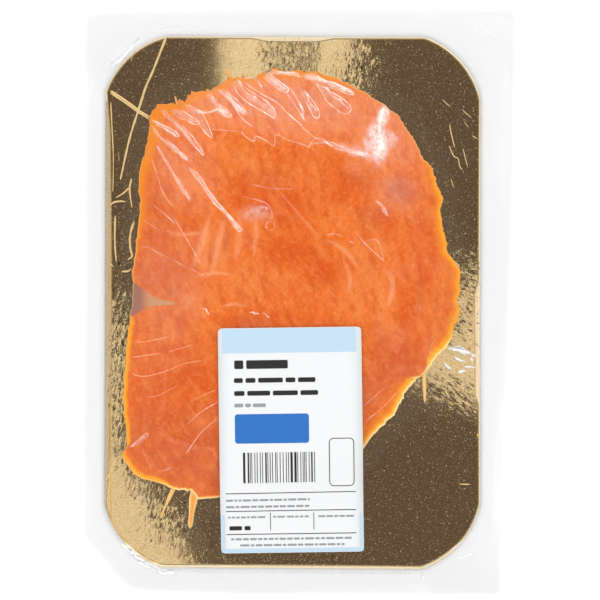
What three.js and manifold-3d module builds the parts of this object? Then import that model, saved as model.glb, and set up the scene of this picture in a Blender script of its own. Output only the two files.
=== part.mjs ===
// A vacuum pack of sliced smoked salmon, lying flat with the fish upwards.
// Six pieces from the bottom up: the lower film with its seal flange, a gold foil board with
// clipped corners, two slices of fish, the upper film drawn down over them, and a paper label.
// Millimetres, +Z up, the origin under the middle of the pack on the surface it lies on.

import * as THREE from 'three';
import { LoftGeometry } from 'three/addons/geometries/LoftGeometry.js';
import { mergeVertices } from 'three/addons/utils/BufferGeometryUtils.js';
import Module from 'manifold-3d';

// ---- driving dimensions -------------------------------------------------------------------

const GAP = 0.3; // air between two pieces that lie on each other
const FILM = 0.25; // thickness of either film

const BOARD_THICKNESS = 0.8;
const BOARD_EDGE = 2.3; // width of the pressed bevel round the board
const BOARD_CORNER_RADIUS = 37; // the clipped corners are flat arcs

const WELL_START = 0.8; // outside the board, where the lower film leaves the table
const WELL_END = 4.4; // outside the board, where it meets the flange
const FLANGE_Z = 1.3; // height of the flange at the well
const FLANGE_RISE = 0.9; // how much further it lifts towards its outer edge
const FLANGE_WAVE = 0.3;

const UNDER_THICKNESS = 2.4;
const TOP_THICKNESS = 3.1;
const UNDER_SET_BACK = 7; // how far the slice underneath stays inside the top one's edge
const RIM = 0.7; // thickness of a slice at its cut edge
const SHOULDER = 4; // how fast a slice thickens inwards
const LEAN = 2.4; // how far outside an edge of fish the upper film touches down
const DRAPE_OUT = 4; // the top slice starts to climb this far outside the slice under it
const DRAPE_IN = 5; // and is up on it this far inside
const RELIEF = 0.16; // height of the soft waves in the flesh

const LABEL_WIDTH = 60;
const LABEL_HEIGHT = 95;
const LABEL_THICKNESS = 0.25;
const LABEL_CORNER = 1.3;
const LABEL_TURN = THREE.MathUtils.degToRad(0.8);
const LABEL_CENTRE = new THREE.Vector2(-3.75, -58.15);
const LABEL_FOLD = [new THREE.Vector2(-34, -85), new THREE.Vector2(26, -69)]; // fish's edge below
const LABEL_FALL = 26; // length over which the label bends down from the fish to the board
const LABEL_STRIPS = 20;
const LABEL_COLUMNS = 6;

const CENTRE = new THREE.Vector2(-4, 4); // every outline is seen whole from this point
const MIN_RAY = 0.02; // radians between two rays that are both kept
const WIDE_RAY = 0.14; // radians between rays where an outline is plain
const HUG_SPAN = 34; // the upper film bridges bays in the fish's edge up to this wide
const HUG_SLACK = 6; // square millimetres below which a corner isn't worth a bend in the film
const HUG_SPACE = 0.6; // how far outside the fish the film bends down

// ---- levels, from the table up ------------------------------------------------------------

const BOARD_Z = FILM + GAP;
const BOARD_TOP = BOARD_Z + BOARD_THICKNESS;
const FISH_Z = BOARD_TOP + GAP;

// ---- outlines, anticlockwise or clockwise alike, each a closed run of corners ----------------

const corners = (...pairs) => pairs.map(([x, y]) => new THREE.Vector2(x, y));

const FLANGE_OUTLINE = corners(
  [-91.6, 120.3], [-89.6, 122.2], [-86.1, 123.1], [-21, 123.6], [92.4, 124.5], [90.4, 42.6],
  [88.6, 0.6], [86.1, -83.4], [85.3, -124.5], [-21, -123.8], [-71.4, -122.4], [-75.6, -119.1],
  [-88.2, -105.2], [-92.4, -100.2], [-91.2, 0]
);

const BOARD_SIDES = [
  corners([-56.4, 111.1], [52.9, 110.8]),
  corners([75.9, 85.5], [75.7, -85.7]),
  corners([51.4, -112.3], [-58.4, -110.8]),
  corners([-82.3, -85.5], [-81.7, 88.8])
];

const TOP_LEFT_EDGE = corners(
  [-75.1, -64.5], [-72.7, -60.7], [-74.1, -47.8], [-74.1, -34.5], [-72.2, -12], [-70.3, 6.6],
  [-70.6, 12.4], [-68.3, 29.8], [-67, 42.6], [-68, 46.3], [-67.4, 55.9], [-62.9, 76.5]
);
const TOP_FAR_EDGE = corners(
  [-59.6, 82.3], [-49.4, 84.5], [-44.9, 88.1], [-39.1, 88.7], [-29.4, 93.2], [-19.2, 94.5],
  [-10.8, 96.9], [0, 97.4], [8.4, 96.1], [24.4, 89.3], [36, 82.3], [41.2, 78.4]
);
const TOP_RIGHT_EDGE = corners(
  [48.8, 66.8], [52.1, 59.8], [55.3, 57.2], [60.4, 43.7], [58.8, 38.8], [61.1, 26.5],
  [61.7, 21.4], [67.5, 13.1]
);
const TOP_FLANK_EDGE = corners(
  [66.2, 2], [66.8, -3.6], [61.9, -9.2], [56, -15.4], [53.9, -23.4], [53, -29.3]
);
const TOP_NEAR_EDGE = corners(
  [45, -37.1], [39.9, -47.2], [33.4, -53.5], [26.4, -62.2], [12.6, -70.8], [-4.2, -77.1],
  [-21, -81.3], [-42.9, -83.2], [-46.2, -79.3], [-52, -79.3], [-67.4, -74.1], [-73.2, -67.7]
);

// The slice underneath shows only along its own lower right side.
const UNDER_SHOWN_EDGE = corners(
  [65, 2], [67.2, -3.7], [66.5, -7.5], [64.3, -12], [63, -17.2], [59.1, -21.6], [50.8, -31.3]
);
const aroundTop = [TOP_LEFT_EDGE, TOP_FAR_EDGE, TOP_RIGHT_EDGE];
const TOP_OUTLINE = [...aroundTop, TOP_FLANK_EDGE, TOP_NEAR_EDGE].flat();
const FISH_OUTLINE = [...aroundTop, UNDER_SHOWN_EDGE, TOP_NEAR_EDGE].flat(); // both slices

// Elsewhere it stops short of the top slice's edge.
const UNDER_HIDDEN_EDGE = [TOP_NEAR_EDGE, ...aroundTop].flat().map((corner) => {
  const spoke = corner.clone().sub(CENTRE);
  return spoke.setLength(spoke.length() - UNDER_SET_BACK).add(CENTRE);
});
const UNDER_OUTLINE = [...UNDER_SHOWN_EDGE, ...UNDER_HIDDEN_EDGE];

// Strands of flesh drawn out over the board: root, tip, width and height at the root.
const strand = (root, tip, width, height) => ({
  root: new THREE.Vector2(...root), tip: new THREE.Vector2(...tip), width, height
});
const TOP_STRANDS = [
  strand([-51.5, -76], [-58.2, -91.2], 1.6, 0.45),
  strand([-44.6, -77], [-46.4, -95.4], 3.4, 0.55),
  strand([-50, 80], [-53.2, 87.2], 2.6, 0.5)
];
const UNDER_STRANDS = [strand([51.6, -27], [52.4, -42.2], 1.8, 0.45)];
const STRANDS = [...TOP_STRANDS, ...UNDER_STRANDS];
const STRAND_TENT = [3, 9]; // the film is held up this far round a strand, and is down by then

// ---- small helpers --------------------------------------------------------------------------

// The points of a flat arc from a to b, bulging away from the centre.
function arcBetween(a, b, radius, steps) {
  const half = a.distanceTo(b) / 2;
  const middle = a.clone().add(b).multiplyScalar(0.5);
  const outwards = middle.clone().sub(CENTRE).normalize();
  const across = b.clone().sub(a).normalize();
  const normal = new THREE.Vector2(-across.y, across.x);
  if (normal.dot(outwards) < 0) normal.negate();
  const hub = middle.clone().addScaledVector(normal, -Math.sqrt(radius ** 2 - half ** 2));
  const start = a.clone().sub(hub).angle();
  let sweep = b.clone().sub(hub).angle() - start;
  if (sweep > Math.PI) sweep -= 2 * Math.PI;
  if (sweep < -Math.PI) sweep += 2 * Math.PI;
  return Array.from({ length: steps + 1 }, (_, i) => {
    const angle = start + (sweep * i) / steps;
    return new THREE.Vector2(Math.cos(angle), Math.sin(angle)).multiplyScalar(radius).add(hub);
  });
}

// Distance from the centre to an outline, along a ray.
function reach(outline, angle) {
  const ray = new THREE.Vector2(Math.cos(angle), Math.sin(angle));
  let farthest = 0;
  outline.forEach((a, i) => {
    const edge = outline[(i + 1) % outline.length].clone().sub(a);
    const from = a.clone().sub(CENTRE);
    const turn = ray.cross(edge);
    const share = from.cross(ray) / turn;
    if (share >= -1e-9 && share <= 1 + 1e-9) farthest = Math.max(farthest, from.cross(edge) / turn);
  });
  return farthest;
}

// The line on which the taut film leaves the fish: it bridges the small bays in a clockwise edge.
function tautRound(outline) {
  const taut = [...outline];
  const isBay = (corner, i) => {
    const before = taut[(i + taut.length - 1) % taut.length];
    const bridge = taut[(i + 1) % taut.length].clone().sub(before);
    return bridge.length() < HUG_SPAN && bridge.cross(corner.clone().sub(before)) < HUG_SLACK;
  };
  for (let bay = taut.findIndex(isBay); bay >= 0; bay = taut.findIndex(isBay)) taut.splice(bay, 1);
  return taut.map((corner) => {
    const spoke = corner.clone().sub(CENTRE);
    return spoke.setLength(spoke.length() + HUG_SPACE).add(CENTRE);
  });
}

// How far inside an outline a point lies, measured along its ray; negative is outside.
function depth(outline, x, y) {
  const point = new THREE.Vector2(x, y).sub(CENTRE);
  return reach(outline, point.angle()) - point.length();
}

// Rays through the corners of the outlines, the first outline's before the next one's where two
// are too close, with more rays between them where they are far apart.
function raysThrough(outlines, widest) {
  const kept = [];
  outlines.flat().forEach((corner) => {
    const angle = corner.clone().sub(CENTRE).angle();
    if (kept.every((other) => Math.abs(other - angle) > MIN_RAY)) kept.push(angle);
  });
  kept.sort((a, b) => a - b);
  return kept.flatMap((angle, i) => {
    const next = i + 1 < kept.length ? kept[i + 1] : kept[0] + 2 * Math.PI;
    const parts = Math.ceil((next - angle) / widest);
    return Array.from({ length: parts }, (_, k) => angle + ((next - angle) * k) / parts);
  });
}

function pointOnRay(angle, radius, height) {
  const x = CENTRE.x + radius * Math.cos(angle);
  const y = CENTRE.y + radius * Math.sin(angle);
  return new THREE.Vector3(x, y, typeof height === 'function' ? height(x, y) : height);
}

// A closed ring of points on an outline, drawn in by a distance and then shrunk, at a height.
function ring(rays, outline, { inset = 0, shrink = 1, height }) {
  return rays.map((angle) => pointOnRay(angle, (reach(outline, angle) - inset) * shrink, height));
}

// A ring part of the way from one outline to another.
function ringBetween(rays, inner, outer, share, height) {
  return rays.map((angle) => {
    const radius = THREE.MathUtils.lerp(reach(inner, angle), reach(outer, angle), share);
    return pointOnRay(angle, radius, height);
  });
}

// A closed body lofted through rings, with a fan of triangles over its first and last ring.
function closedLoft(sections) {
  const [first, last] = [sections[0], sections.at(-1)].map((section) => {
    const middle = section.reduce((sum, point) => sum.add(point), new THREE.Vector3());
    middle.divideScalar(section.length);
    return section.map(() => middle);
  });
  const loft = new LoftGeometry([first, ...sections, last]);
  const bare = new THREE.BufferGeometry();
  bare.setAttribute('position', loft.attributes.position);
  bare.setIndex(loft.index);
  const merged = mergeVertices(bare, 1e-4);
  const index = Array.from(merged.index.array);
  const faces = Array.from({ length: index.length / 3 }, (_, i) => index.slice(3 * i, 3 * i + 3));
  merged.setIndex(faces.filter(([a, b, c]) => a !== b && b !== c && c !== a).flat());
  merged.computeVertexNormals();
  return merged;
}

const smooth = (low, high, value) => THREE.MathUtils.smoothstep(value, low, high);

// ---- booleans ---------------------------------------------------------------------------------

const wasm = await Module();
wasm.setup();

function toSolid(geometry) {
  return new wasm.Manifold(new wasm.Mesh({
    numProp: 3,
    vertProperties: new Float32Array(geometry.attributes.position.array),
    triVerts: new Uint32Array(geometry.index.array)
  }));
}

function toGeometry(solid) {
  const mesh = solid.getMesh();
  const geometry = new THREE.BufferGeometry();
  geometry.setAttribute('position', new THREE.BufferAttribute(mesh.vertProperties, 3));
  geometry.setIndex(new THREE.BufferAttribute(mesh.triVerts, 1));
  geometry.computeVertexNormals();
  return geometry;
}

const HUG_OUTLINE = tautRound(FISH_OUTLINE);

// ---- heights --------------------------------------------------------------------------------------

// Thickness of a slice at a depth inside its cut edge.
function sliceThickness(inside, full) {
  return RIM + (full - RIM) * (1 - Math.exp(-Math.max(inside, 0) / SHOULDER));
}

// The soft waves of the flesh, running across the slice.
function relief(x, y) {
  const flakes = Math.sin(0.16 * x + 0.31 * y + 1.4) + Math.sin(0.27 * x - 0.11 * y);
  return RELIEF * 0.5 * flakes * smooth(-30, 10, y);
}

// How much higher the top slice lies where it is draped over the one underneath; what lies on
// the top slice starts to climb a little sooner, by a lead.
function drape(x, y, lead = 0) {
  const inside = depth(UNDER_OUTLINE, x, y) + lead;
  return (UNDER_THICKNESS + GAP) * smooth(-DRAPE_OUT, DRAPE_IN, inside);
}

function topOfUnder(x, y) {
  return FISH_Z + sliceThickness(depth(UNDER_OUTLINE, x, y), UNDER_THICKNESS);
}

function topOfFish(x, y) {
  const inside = depth(TOP_OUTLINE, x, y);
  return FISH_Z + drape(x, y) + sliceThickness(inside, TOP_THICKNESS) + relief(x, y);
}

// How much a strand holds the film up beside the fish.
function strandLift(x, y) {
  const spot = new THREE.Vector3(x, y, 0);
  const lifts = STRANDS.map(({ root, tip, height }) => {
    const line = new THREE.Line3(new THREE.Vector3(root.x, root.y), new THREE.Vector3(tip.x, tip.y));
    const away = line.closestPointToPoint(spot, true, new THREE.Vector3()).distanceTo(spot);
    return (height + GAP) * (1 - smooth(...STRAND_TENT, away));
  });
  return Math.max(...lifts);
}

// The underside of the upper film over the fish and the board.
function filmOverFish(x, y) {
  const inside = depth(HUG_OUTLINE, x, y) + LEAN;
  const pulledDown = 1 - Math.exp(-Math.max(inside, 0) / SHOULDER);
  const lift = GAP * smooth(-3, LEAN, inside);
  const fish = drape(x, y, LEAN) + (TOP_THICKNESS + RELIEF) * pulledDown + lift;
  return FISH_Z + Math.max(fish, strandLift(x, y));
}

// The underside of the lower film: flat under the board, up the well, out along the flange.
function lowerFilm(x, y) {
  const outside = -depth(BOARD_OUTLINE, x, y);
  const wave = FLANGE_WAVE * Math.sin(0.05 * x + 0.4) * Math.sin(0.043 * y + 0.9);
  const flange = smooth(WELL_START, WELL_END, outside);
  const edge = smooth(WELL_END, 18, outside);
  return FLANGE_Z * flange + (FLANGE_RISE + wave) * edge;
}

// The underside of the upper film, from the board's edge out to the flange's.
function upperFilm(x, y) {
  const outside = -depth(BOARD_OUTLINE, x, y);
  const sealed = smooth(0, WELL_END, outside);
  const onFlange = lowerFilm(x, y) + FILM + GAP;
  return filmOverFish(x, y) * (1 - sealed) + onFlange * sealed;
}

// ---- the pieces -------------------------------------------------------------------------------------

const BOARD_OUTLINE = BOARD_SIDES.flatMap(([start, end], i) => {
  const next = BOARD_SIDES[(i + 1) % BOARD_SIDES.length][0];
  return [start, ...arcBetween(end, next, BOARD_CORNER_RADIUS, 5).slice(0, -1)];
});

function makeBoard() {
  const rays = raysThrough([BOARD_OUTLINE], WIDE_RAY);
  const at = (inset, height) => ring(rays, BOARD_OUTLINE, { inset, height });
  return closedLoft([
    at(0.3, BOARD_Z),
    at(0, BOARD_Z + 0.15),
    at(0, BOARD_TOP - 0.35),
    at(BOARD_EDGE * 0.5, BOARD_TOP - 0.12),
    at(BOARD_EDGE, BOARD_TOP)
  ]);
}

const filmRays = raysThrough([FLANGE_OUTLINE, BOARD_OUTLINE], WIDE_RAY);
const FLANGE_STEPS = [0.35, 0.7, 1]; // shares of the way from the well to the flange's edge

// The rings of one face of a film outside the board, from the well outwards.
function flangeRings(rays, height) {
  return FLANGE_STEPS.map((share) => rays.map((angle) => {
    const well = reach(BOARD_OUTLINE, angle) + WELL_END;
    const radius = THREE.MathUtils.lerp(well, reach(FLANGE_OUTLINE, angle), share);
    return pointOnRay(angle, radius, height);
  }));
}

// A film from its underside: out along that face, round the edge and back along the other.
function makeFilm(rays, inner, underside) {
  const face = (lift) => {
    const height = (x, y) => underside(x, y) + lift;
    return [...inner(height), ...flangeRings(rays, height)];
  };
  return closedLoft([...face(0), ...face(FILM).reverse()]);
}

function makeLowerFilm() {
  const inner = (height) => [-WELL_START, -2, -3.2, -WELL_END].map(
    (inset) => ring(filmRays, BOARD_OUTLINE, { inset, height })
  );
  return makeFilm(filmRays, inner, lowerFilm);
}

function makeUpperFilm() {
  const strandEnds = STRANDS.flatMap(({ root, tip }) => [root, tip]);
  const rays = raysThrough([FLANGE_OUTLINE, BOARD_OUTLINE, HUG_OUTLINE, strandEnds], WIDE_RAY);
  const inner = (height) => [
    ...[0.15, 0.6].map((shrink) => ring(rays, HUG_OUTLINE, { inset: 14, shrink, height })),
    ...[14, 8, 4, 1.5, 0, -LEAN, -5].map((inset) => ring(rays, HUG_OUTLINE, { inset, height })),
    ...[0.35, 0.65].map((share) => ringBetween(rays, HUG_OUTLINE, BOARD_OUTLINE, share, height)),
    ...[0, -2, -WELL_END].map((inset) => ring(rays, BOARD_OUTLINE, { inset, height }))
  ];
  return makeFilm(rays, inner, upperFilm);
}

// A slice of fish: flat underneath, its upper face from the cut edge up to the middle.
function makeSlice(outline, topHeight, clearance) {
  const rays = raysThrough([outline], WIDE_RAY);
  const raised = (x, y) => topHeight(x, y) + clearance;
  const at = (inset, height) => ring(rays, outline, { inset: inset - clearance, height });
  const inner = [0.7, 0.4, 0.1].map((shrink) => ring(rays, outline, { inset: 10, shrink, height: raised }));
  return closedLoft([
    at(0.2, FISH_Z - clearance),
    at(0, FISH_Z + 0.3),
    ...[0.4, 2, 5, 10].map((inset) => at(inset, raised)),
    ...inner
  ]);
}

// A strand from its root in the fish to its tip, three-sided on top and tapering.
function makeStrand({ root, tip, width, height }) {
  const along = tip.clone().sub(root);
  const side = new THREE.Vector2(-along.y, along.x).normalize();
  const sections = [0, 0.35, 0.7, 1].map((share) => {
    const middle = root.clone().addScaledVector(along, share);
    const half = (width / 2) * (1 - 0.7 * share);
    const crest = height * (1 - 0.5 * share);
    const point = (across, up) => {
      const spot = middle.clone().addScaledVector(side, across * half);
      return new THREE.Vector3(spot.x, spot.y, FISH_Z + up * crest);
    };
    return [point(1, 0), point(1, 0.6), point(0, 1), point(-1, 0.6), point(-1, 0)];
  });
  return closedLoft(sections);
}

function joined(body, strands) {
  return strands.reduce((solid, each) => solid.add(toSolid(makeStrand(each))), toSolid(body));
}

function makeUnderSlice() {
  return toGeometry(joined(makeSlice(UNDER_OUTLINE, topOfUnder, 0), UNDER_STRANDS));
}

// The top slice is cut clear of the one it is draped over.
function makeTopSlice() {
  const room = joined(makeSlice(UNDER_OUTLINE, topOfUnder, GAP), []);
  return toGeometry(joined(makeSlice(TOP_OUTLINE, topOfFish, 0), TOP_STRANDS).subtract(room));
}

// The underside of the label: flat over the fish, bending down to the board past its edge.
function labelHeight(x, y) {
  const [edgeStart, edgeEnd] = LABEL_FOLD;
  const edge = edgeEnd.clone().sub(edgeStart).normalize();
  const inside = edge.cross(new THREE.Vector2(x, y).sub(edgeStart));
  const low = FISH_Z + 2 * GAP + FILM;
  const high = FISH_Z + UNDER_THICKNESS + TOP_THICKNESS + 3 * GAP + FILM + RELIEF;
  return low + (high - low) * smooth(-LABEL_FALL * 0.55, LABEL_FALL * 0.45, inside);
}

function makeLabel() {
  const sections = Array.from({ length: LABEL_STRIPS + 1 }, (_, i) => {
    const up = LABEL_HEIGHT * (i / LABEL_STRIPS - 0.5);
    const atEnd = i === 0 || i === LABEL_STRIPS;
    const half = LABEL_WIDTH / 2 - (atEnd ? LABEL_CORNER : 0);
    const under = Array.from({ length: LABEL_COLUMNS + 1 }, (__, k) => {
      const spot = new THREE.Vector2(half * ((2 * k) / LABEL_COLUMNS - 1), up);
      spot.rotateAround(new THREE.Vector2(), LABEL_TURN).add(LABEL_CENTRE);
      return new THREE.Vector3(spot.x, spot.y, labelHeight(spot.x, spot.y));
    });
    const over = under.map((point) => point.clone().setZ(point.z + LABEL_THICKNESS));
    return [...over, ...under.reverse()];
  });
  return closedLoft(sections);
}

// ---- the pack ------------------------------------------------------------------------------------------

function piece(name, geometry, color, roughness, metalness, opacity = 1) {
  const material = new THREE.MeshStandardMaterial({
    color, roughness, metalness, opacity, transparent: opacity < 1
  });
  const mesh = new THREE.Mesh(geometry, material);
  mesh.name = name;
  return mesh;
}

const pack = new THREE.Group();
pack.add(piece('lower_film', makeLowerFilm(), 0xf4f6f7, 0.1, 0, 0.25));
pack.add(piece('gold_board', makeBoard(), 0xa58a58, 0.3, 0.9));
pack.add(piece('salmon_slice_under', makeUnderSlice(), 0xe8793f, 0.35, 0));
pack.add(piece('salmon_slice_top', makeTopSlice(), 0xea7a42, 0.35, 0));
pack.add(piece('upper_film', makeUpperFilm(), 0xf4f6f7, 0.1, 0, 0.25));
pack.add(piece('label', makeLabel(), 0xf9f9f9, 0.6, 0));

export default pack;
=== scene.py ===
# %% [markdown]
# # A vacuum pack of sliced smoked salmon
# The pack lies flat with the fish upwards: a clear lower web with a seal flange, a card faced
# with gold foil, two slices of fish, a clear upper web sucked down over them, and a paper label.
# Its sizes come from the frame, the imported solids. Each piece here stands for one of them, and
# gives it the finish of the real thing.

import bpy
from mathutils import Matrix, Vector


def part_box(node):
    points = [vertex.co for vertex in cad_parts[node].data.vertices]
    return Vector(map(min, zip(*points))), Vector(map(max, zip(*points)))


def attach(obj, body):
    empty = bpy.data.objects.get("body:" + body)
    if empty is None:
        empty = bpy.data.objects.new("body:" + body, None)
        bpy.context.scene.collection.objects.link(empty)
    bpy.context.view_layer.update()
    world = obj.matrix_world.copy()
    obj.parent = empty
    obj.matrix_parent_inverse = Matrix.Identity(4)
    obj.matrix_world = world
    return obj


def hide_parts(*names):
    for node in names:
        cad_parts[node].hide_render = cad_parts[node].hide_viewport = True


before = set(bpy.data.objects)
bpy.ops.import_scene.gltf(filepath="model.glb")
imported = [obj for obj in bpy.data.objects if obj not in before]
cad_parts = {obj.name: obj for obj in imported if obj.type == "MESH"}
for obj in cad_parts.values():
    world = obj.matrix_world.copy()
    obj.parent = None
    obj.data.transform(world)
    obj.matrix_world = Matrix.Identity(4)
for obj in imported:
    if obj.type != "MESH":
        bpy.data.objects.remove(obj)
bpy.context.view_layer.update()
print("solids:", ", ".join(sorted(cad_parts)))

# %% Units and small tools
import math

import bmesh
import bpy
import numpy as np
from mathutils import Vector, geometry

MM = 0.001
rng = np.random.default_rng(29)


def linear(code):
    """An sRGB colour such as "E8793F" as the linear colour that a shader takes."""
    parts = [int(code[i : i + 2], 16) / 255 for i in (0, 2, 4)]
    return (*[p / 12.92 if p <= 0.04045 else ((p + 0.055) / 1.055) ** 2.4 for p in parts], 1)


def smooth(low, high, value):
    """0 below low, 1 above high, and an even S between them."""
    share = np.clip((value - low) / (high - low), 0, 1)
    return share * share * (3 - 2 * share)


print("one millimetre is", MM, "of Blender's metres")

# %% [markdown]
# ## Levels
# Everything lies on something else, so the heights stack up from the table: lower web, card,
# fish. The frame's boxes give them, and so no height is typed twice.

# %% Levels, in millimetres
WEB = 0.25  # thickness of a web
GAP = 0.3  # air between two pieces that lie on each other
CARD_BOTTOM, CARD_TOP = [corner.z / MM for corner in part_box("gold_board")]
FISH_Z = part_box("salmon_slice_top")[0].z / MM
print("card", round(CARD_BOTTOM, 2), "to", round(CARD_TOP, 2), "mm, fish from", round(FISH_Z, 2))

# %% [markdown]
# ## Outlines
# The card, the fish and the flange can each be seen whole from one point near the middle. So an
# outline is the distance from that point at every bearing, and a thin piece is a set of rings.
# A few corners give a shape, and they are walked in short steps so that straight sides stay
# straight. The card's clipped corners are flat arcs, so a formula draws those.

# %% Outlines as a distance at each bearing
CENTRE = np.array([-4.0, 4.0])
STEP = 1.0  # between two points of a walked side, in mm


def walk(corners):
    """Points a short step apart along the closed run of corners."""
    points = []
    for start, end in zip(corners, [*corners[1:], corners[0]]):
        start, end = np.array(start, float), np.array(end, float)
        steps = max(1, int(np.linalg.norm(end - start) / STEP))
        points += [start + (end - start) * i / steps for i in range(steps)]
    return np.array(points)


class Outline:
    """A closed shape, kept as its distance from a point inside it at each bearing."""

    def __init__(self, corners, centre=CENTRE):
        self.centre = centre
        away = walk(corners) - centre
        bearing = np.arctan2(away[:, 1], away[:, 0])
        order = np.argsort(bearing)
        self.bearing = bearing[order]
        self.distance = np.hypot(away[order, 0], away[order, 1])

    def reach(self, bearing):
        return np.interp(bearing, self.bearing, self.distance, period=2 * np.pi)

    def inside(self, x, y):
        """How far inside a point lies, along its bearing; negative is outside."""
        away_x, away_y = x - self.centre[0], y - self.centre[1]
        return self.reach(np.arctan2(away_y, away_x)) - np.hypot(away_x, away_y)


def flat_arc(start, end, radius, steps=12):
    """Points of the arc of that radius from start to end, which bulges away from the centre."""
    start, end = np.array(start, float), np.array(end, float)
    middle, chord = (start + end) / 2, end - start
    normal = np.array([-chord[1], chord[0]]) / np.linalg.norm(chord)
    normal *= np.sign(normal @ (middle - CENTRE))
    hub = middle - normal * math.sqrt(radius**2 - (chord @ chord) / 4)
    first, last = [math.atan2(*(point - hub)[::-1]) for point in (start, end)]
    sweep = (last - first + math.pi) % (2 * math.pi) - math.pi
    turns = [first + sweep * i / steps for i in range(1, steps)]
    return [hub + radius * np.array([math.cos(turn), math.sin(turn)]) for turn in turns]


print("outlines are seen from", CENTRE)

# %% The card and the flange
CARD_SIDES = [
    [(-56.4, 111.6), (52.9, 111.2)],
    [(75.9, 85.5), (75.7, -85.7)],
    [(51.4, -112.6), (-58.4, -111.8)],
    [(-82.3, -85.5), (-81.7, 88.8)],
]
CARD_CORNER_RADIUS = 37
card_corners = []
for side, following in zip(CARD_SIDES, [*CARD_SIDES[1:], CARD_SIDES[0]]):
    card_corners += [*side, *flat_arc(side[1], following[0], CARD_CORNER_RADIUS)]
CARD = Outline(card_corners)

FLANGE = Outline([
    (-91.6, 120.3), (-89.6, 122.2), (-86.1, 123.1), (-21, 123.6), (92.4, 124.5), (90.4, 42.6),
    (88.6, 0.6), (86.1, -83.4), (85.3, -124.5), (-21, -123.8), (-71.4, -122.4), (-75.6, -119.1),
    (-88.2, -105.2), (-92.4, -100.2), (-91.2, 0),
])
print("card is", CARD.reach(0).round(1), "mm from the centre to its right side")

# %% The fish
LEFT_EDGE = [
    (-75.1, -64.5), (-72.7, -60.7), (-73, -54.2), (-74.1, -47.8), (-74.3, -41.4), (-74.1, -34.5),
    (-73.2, -21.6), (-72.2, -12), (-70.9, -2.3), (-70.3, 6.6), (-70.6, 12.4), (-69.3, 20.1),
    (-68.3, 29.8), (-67, 42.6), (-68, 46.3), (-67.4, 55.9), (-65.4, 62.4), (-63.5, 72),
    (-62.9, 76.5),
]
FAR_EDGE = [
    (-62.2, 80.4), (-59.6, 82.3), (-52.6, 83.5), (-49.4, 84.5), (-44.9, 88.1), (-39.1, 88.7),
    (-34.6, 90.6), (-29.4, 93.2), (-24.4, 94.5), (-19.2, 94.5), (-15.3, 95.8), (-10.8, 96.9),
    (-4.4, 97.2), (0, 97.4), (8.4, 96.1), (16.1, 93.5), (24.4, 89.3), (30.9, 85.5), (36, 82.3),
    (41.2, 78.4),
]
RIGHT_EDGE = [
    (44.4, 73.3), (48.8, 66.8), (52.1, 59.8), (55.3, 57.2), (56.6, 52), (60.4, 43.7),
    (58.8, 38.8), (59.8, 33), (61.1, 26.5), (61.7, 21.4), (64.9, 16.9), (67.5, 13.1),
]
TOP_FLANK = [
    (67.2, 5.3), (66.4, 0.2), (67.2, -3.6), (65.4, -7.8), (61.9, -9.2), (59.2, -11.5),
    (56, -15.4), (54.5, -18.9), (53.9, -23.4), (53.3, -26.3), (53, -29.3),
]
NEAR_EDGE = [
    (45, -37.1), (39.9, -47.2), (33.4, -53.5), (28.9, -58.7), (26.4, -62.2), (12.6, -70.8),
    (-4.2, -77.1), (-21, -81.3), (-33.9, -82.5), (-42.9, -83.2), (-46.2, -79.3), (-52, -79.3),
    (-59, -76.4), (-67.4, -74.1), (-70.6, -71.6), (-73.2, -67.7),
]
UNDER_SHOWN = [
    (65, 2), (67.2, -3.7), (66.5, -7.5), (64.3, -12), (63, -17.2), (59.1, -21.6), (54.6, -26.8),
    (50.8, -31.3),
]
UNDER_SET_BACK = 7  # the slice underneath stays this far inside the top one's edge


def drawn_in(corners, distance):
    """The corners moved towards the centre."""
    away = np.array(corners) - CENTRE
    far = np.linalg.norm(away, axis=1, keepdims=True)
    return [tuple(corner) for corner in CENTRE + away * (far - distance) / far]


around_top = [*LEFT_EDGE, *FAR_EDGE, *RIGHT_EDGE]
TOP_CUT = Outline([*around_top, *TOP_FLANK, *NEAR_EDGE])
UNDER_CUT = Outline([*UNDER_SHOWN, *drawn_in([*NEAR_EDGE, *around_top], UNDER_SET_BACK)])
print("the top slice is", round(max(TOP_CUT.distance), 1), "mm from the centre at most")

# %% [markdown]
# ## Ragged edges
# A knife leaves the edge of a slice frayed: flakes part there, and the thin far end of the top
# slice has real teeth. So each outline gets seeded teeth of two sizes, and every piece that
# follows uses the frayed outline.

# %% Fray the cut edges
TEETH = [(0.8, 0.9), (1.9, 0.7)]  # length of a tooth in mm, and its share of the height


def tooth_height(x, y):
    """How far the edge frays, in millimetres: most at the thin far end."""
    far_end = smooth(62, 78, y) * smooth(25, 5, x)
    right = smooth(35, 50, x)
    return 0.45 + 1.0 * far_end + 0.25 * right


def frayed(outline):
    """The outline with a few long teeth among many short ones."""
    around = np.linspace(-np.pi, np.pi, 2400, endpoint=False)
    reach = outline.reach(around)
    x, y = CENTRE[0] + reach * np.cos(around), CENTRE[1] + reach * np.sin(around)
    length = np.cumsum(np.hypot(np.diff(x, append=x[0]), np.diff(y, append=y[0])))
    teeth = 0
    for size, share in TEETH:
        count = int(length[-1] / size)
        knots = rng.uniform(-1, 1, count) ** 3
        along = length / length[-1] * count
        teeth += share * np.interp(along, range(count + 1), [*knots, knots[0]])
    reach = reach + teeth * tooth_height(x, y)
    x, y = CENTRE[0] + reach * np.cos(around), CENTRE[1] + reach * np.sin(around)
    return Outline(list(zip(x, y)))


TOP = frayed(TOP_CUT)
UNDER = frayed(UNDER_CUT)
print("teeth of up to", tooth_height(-40, 85).round(2), "mm")
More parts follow.
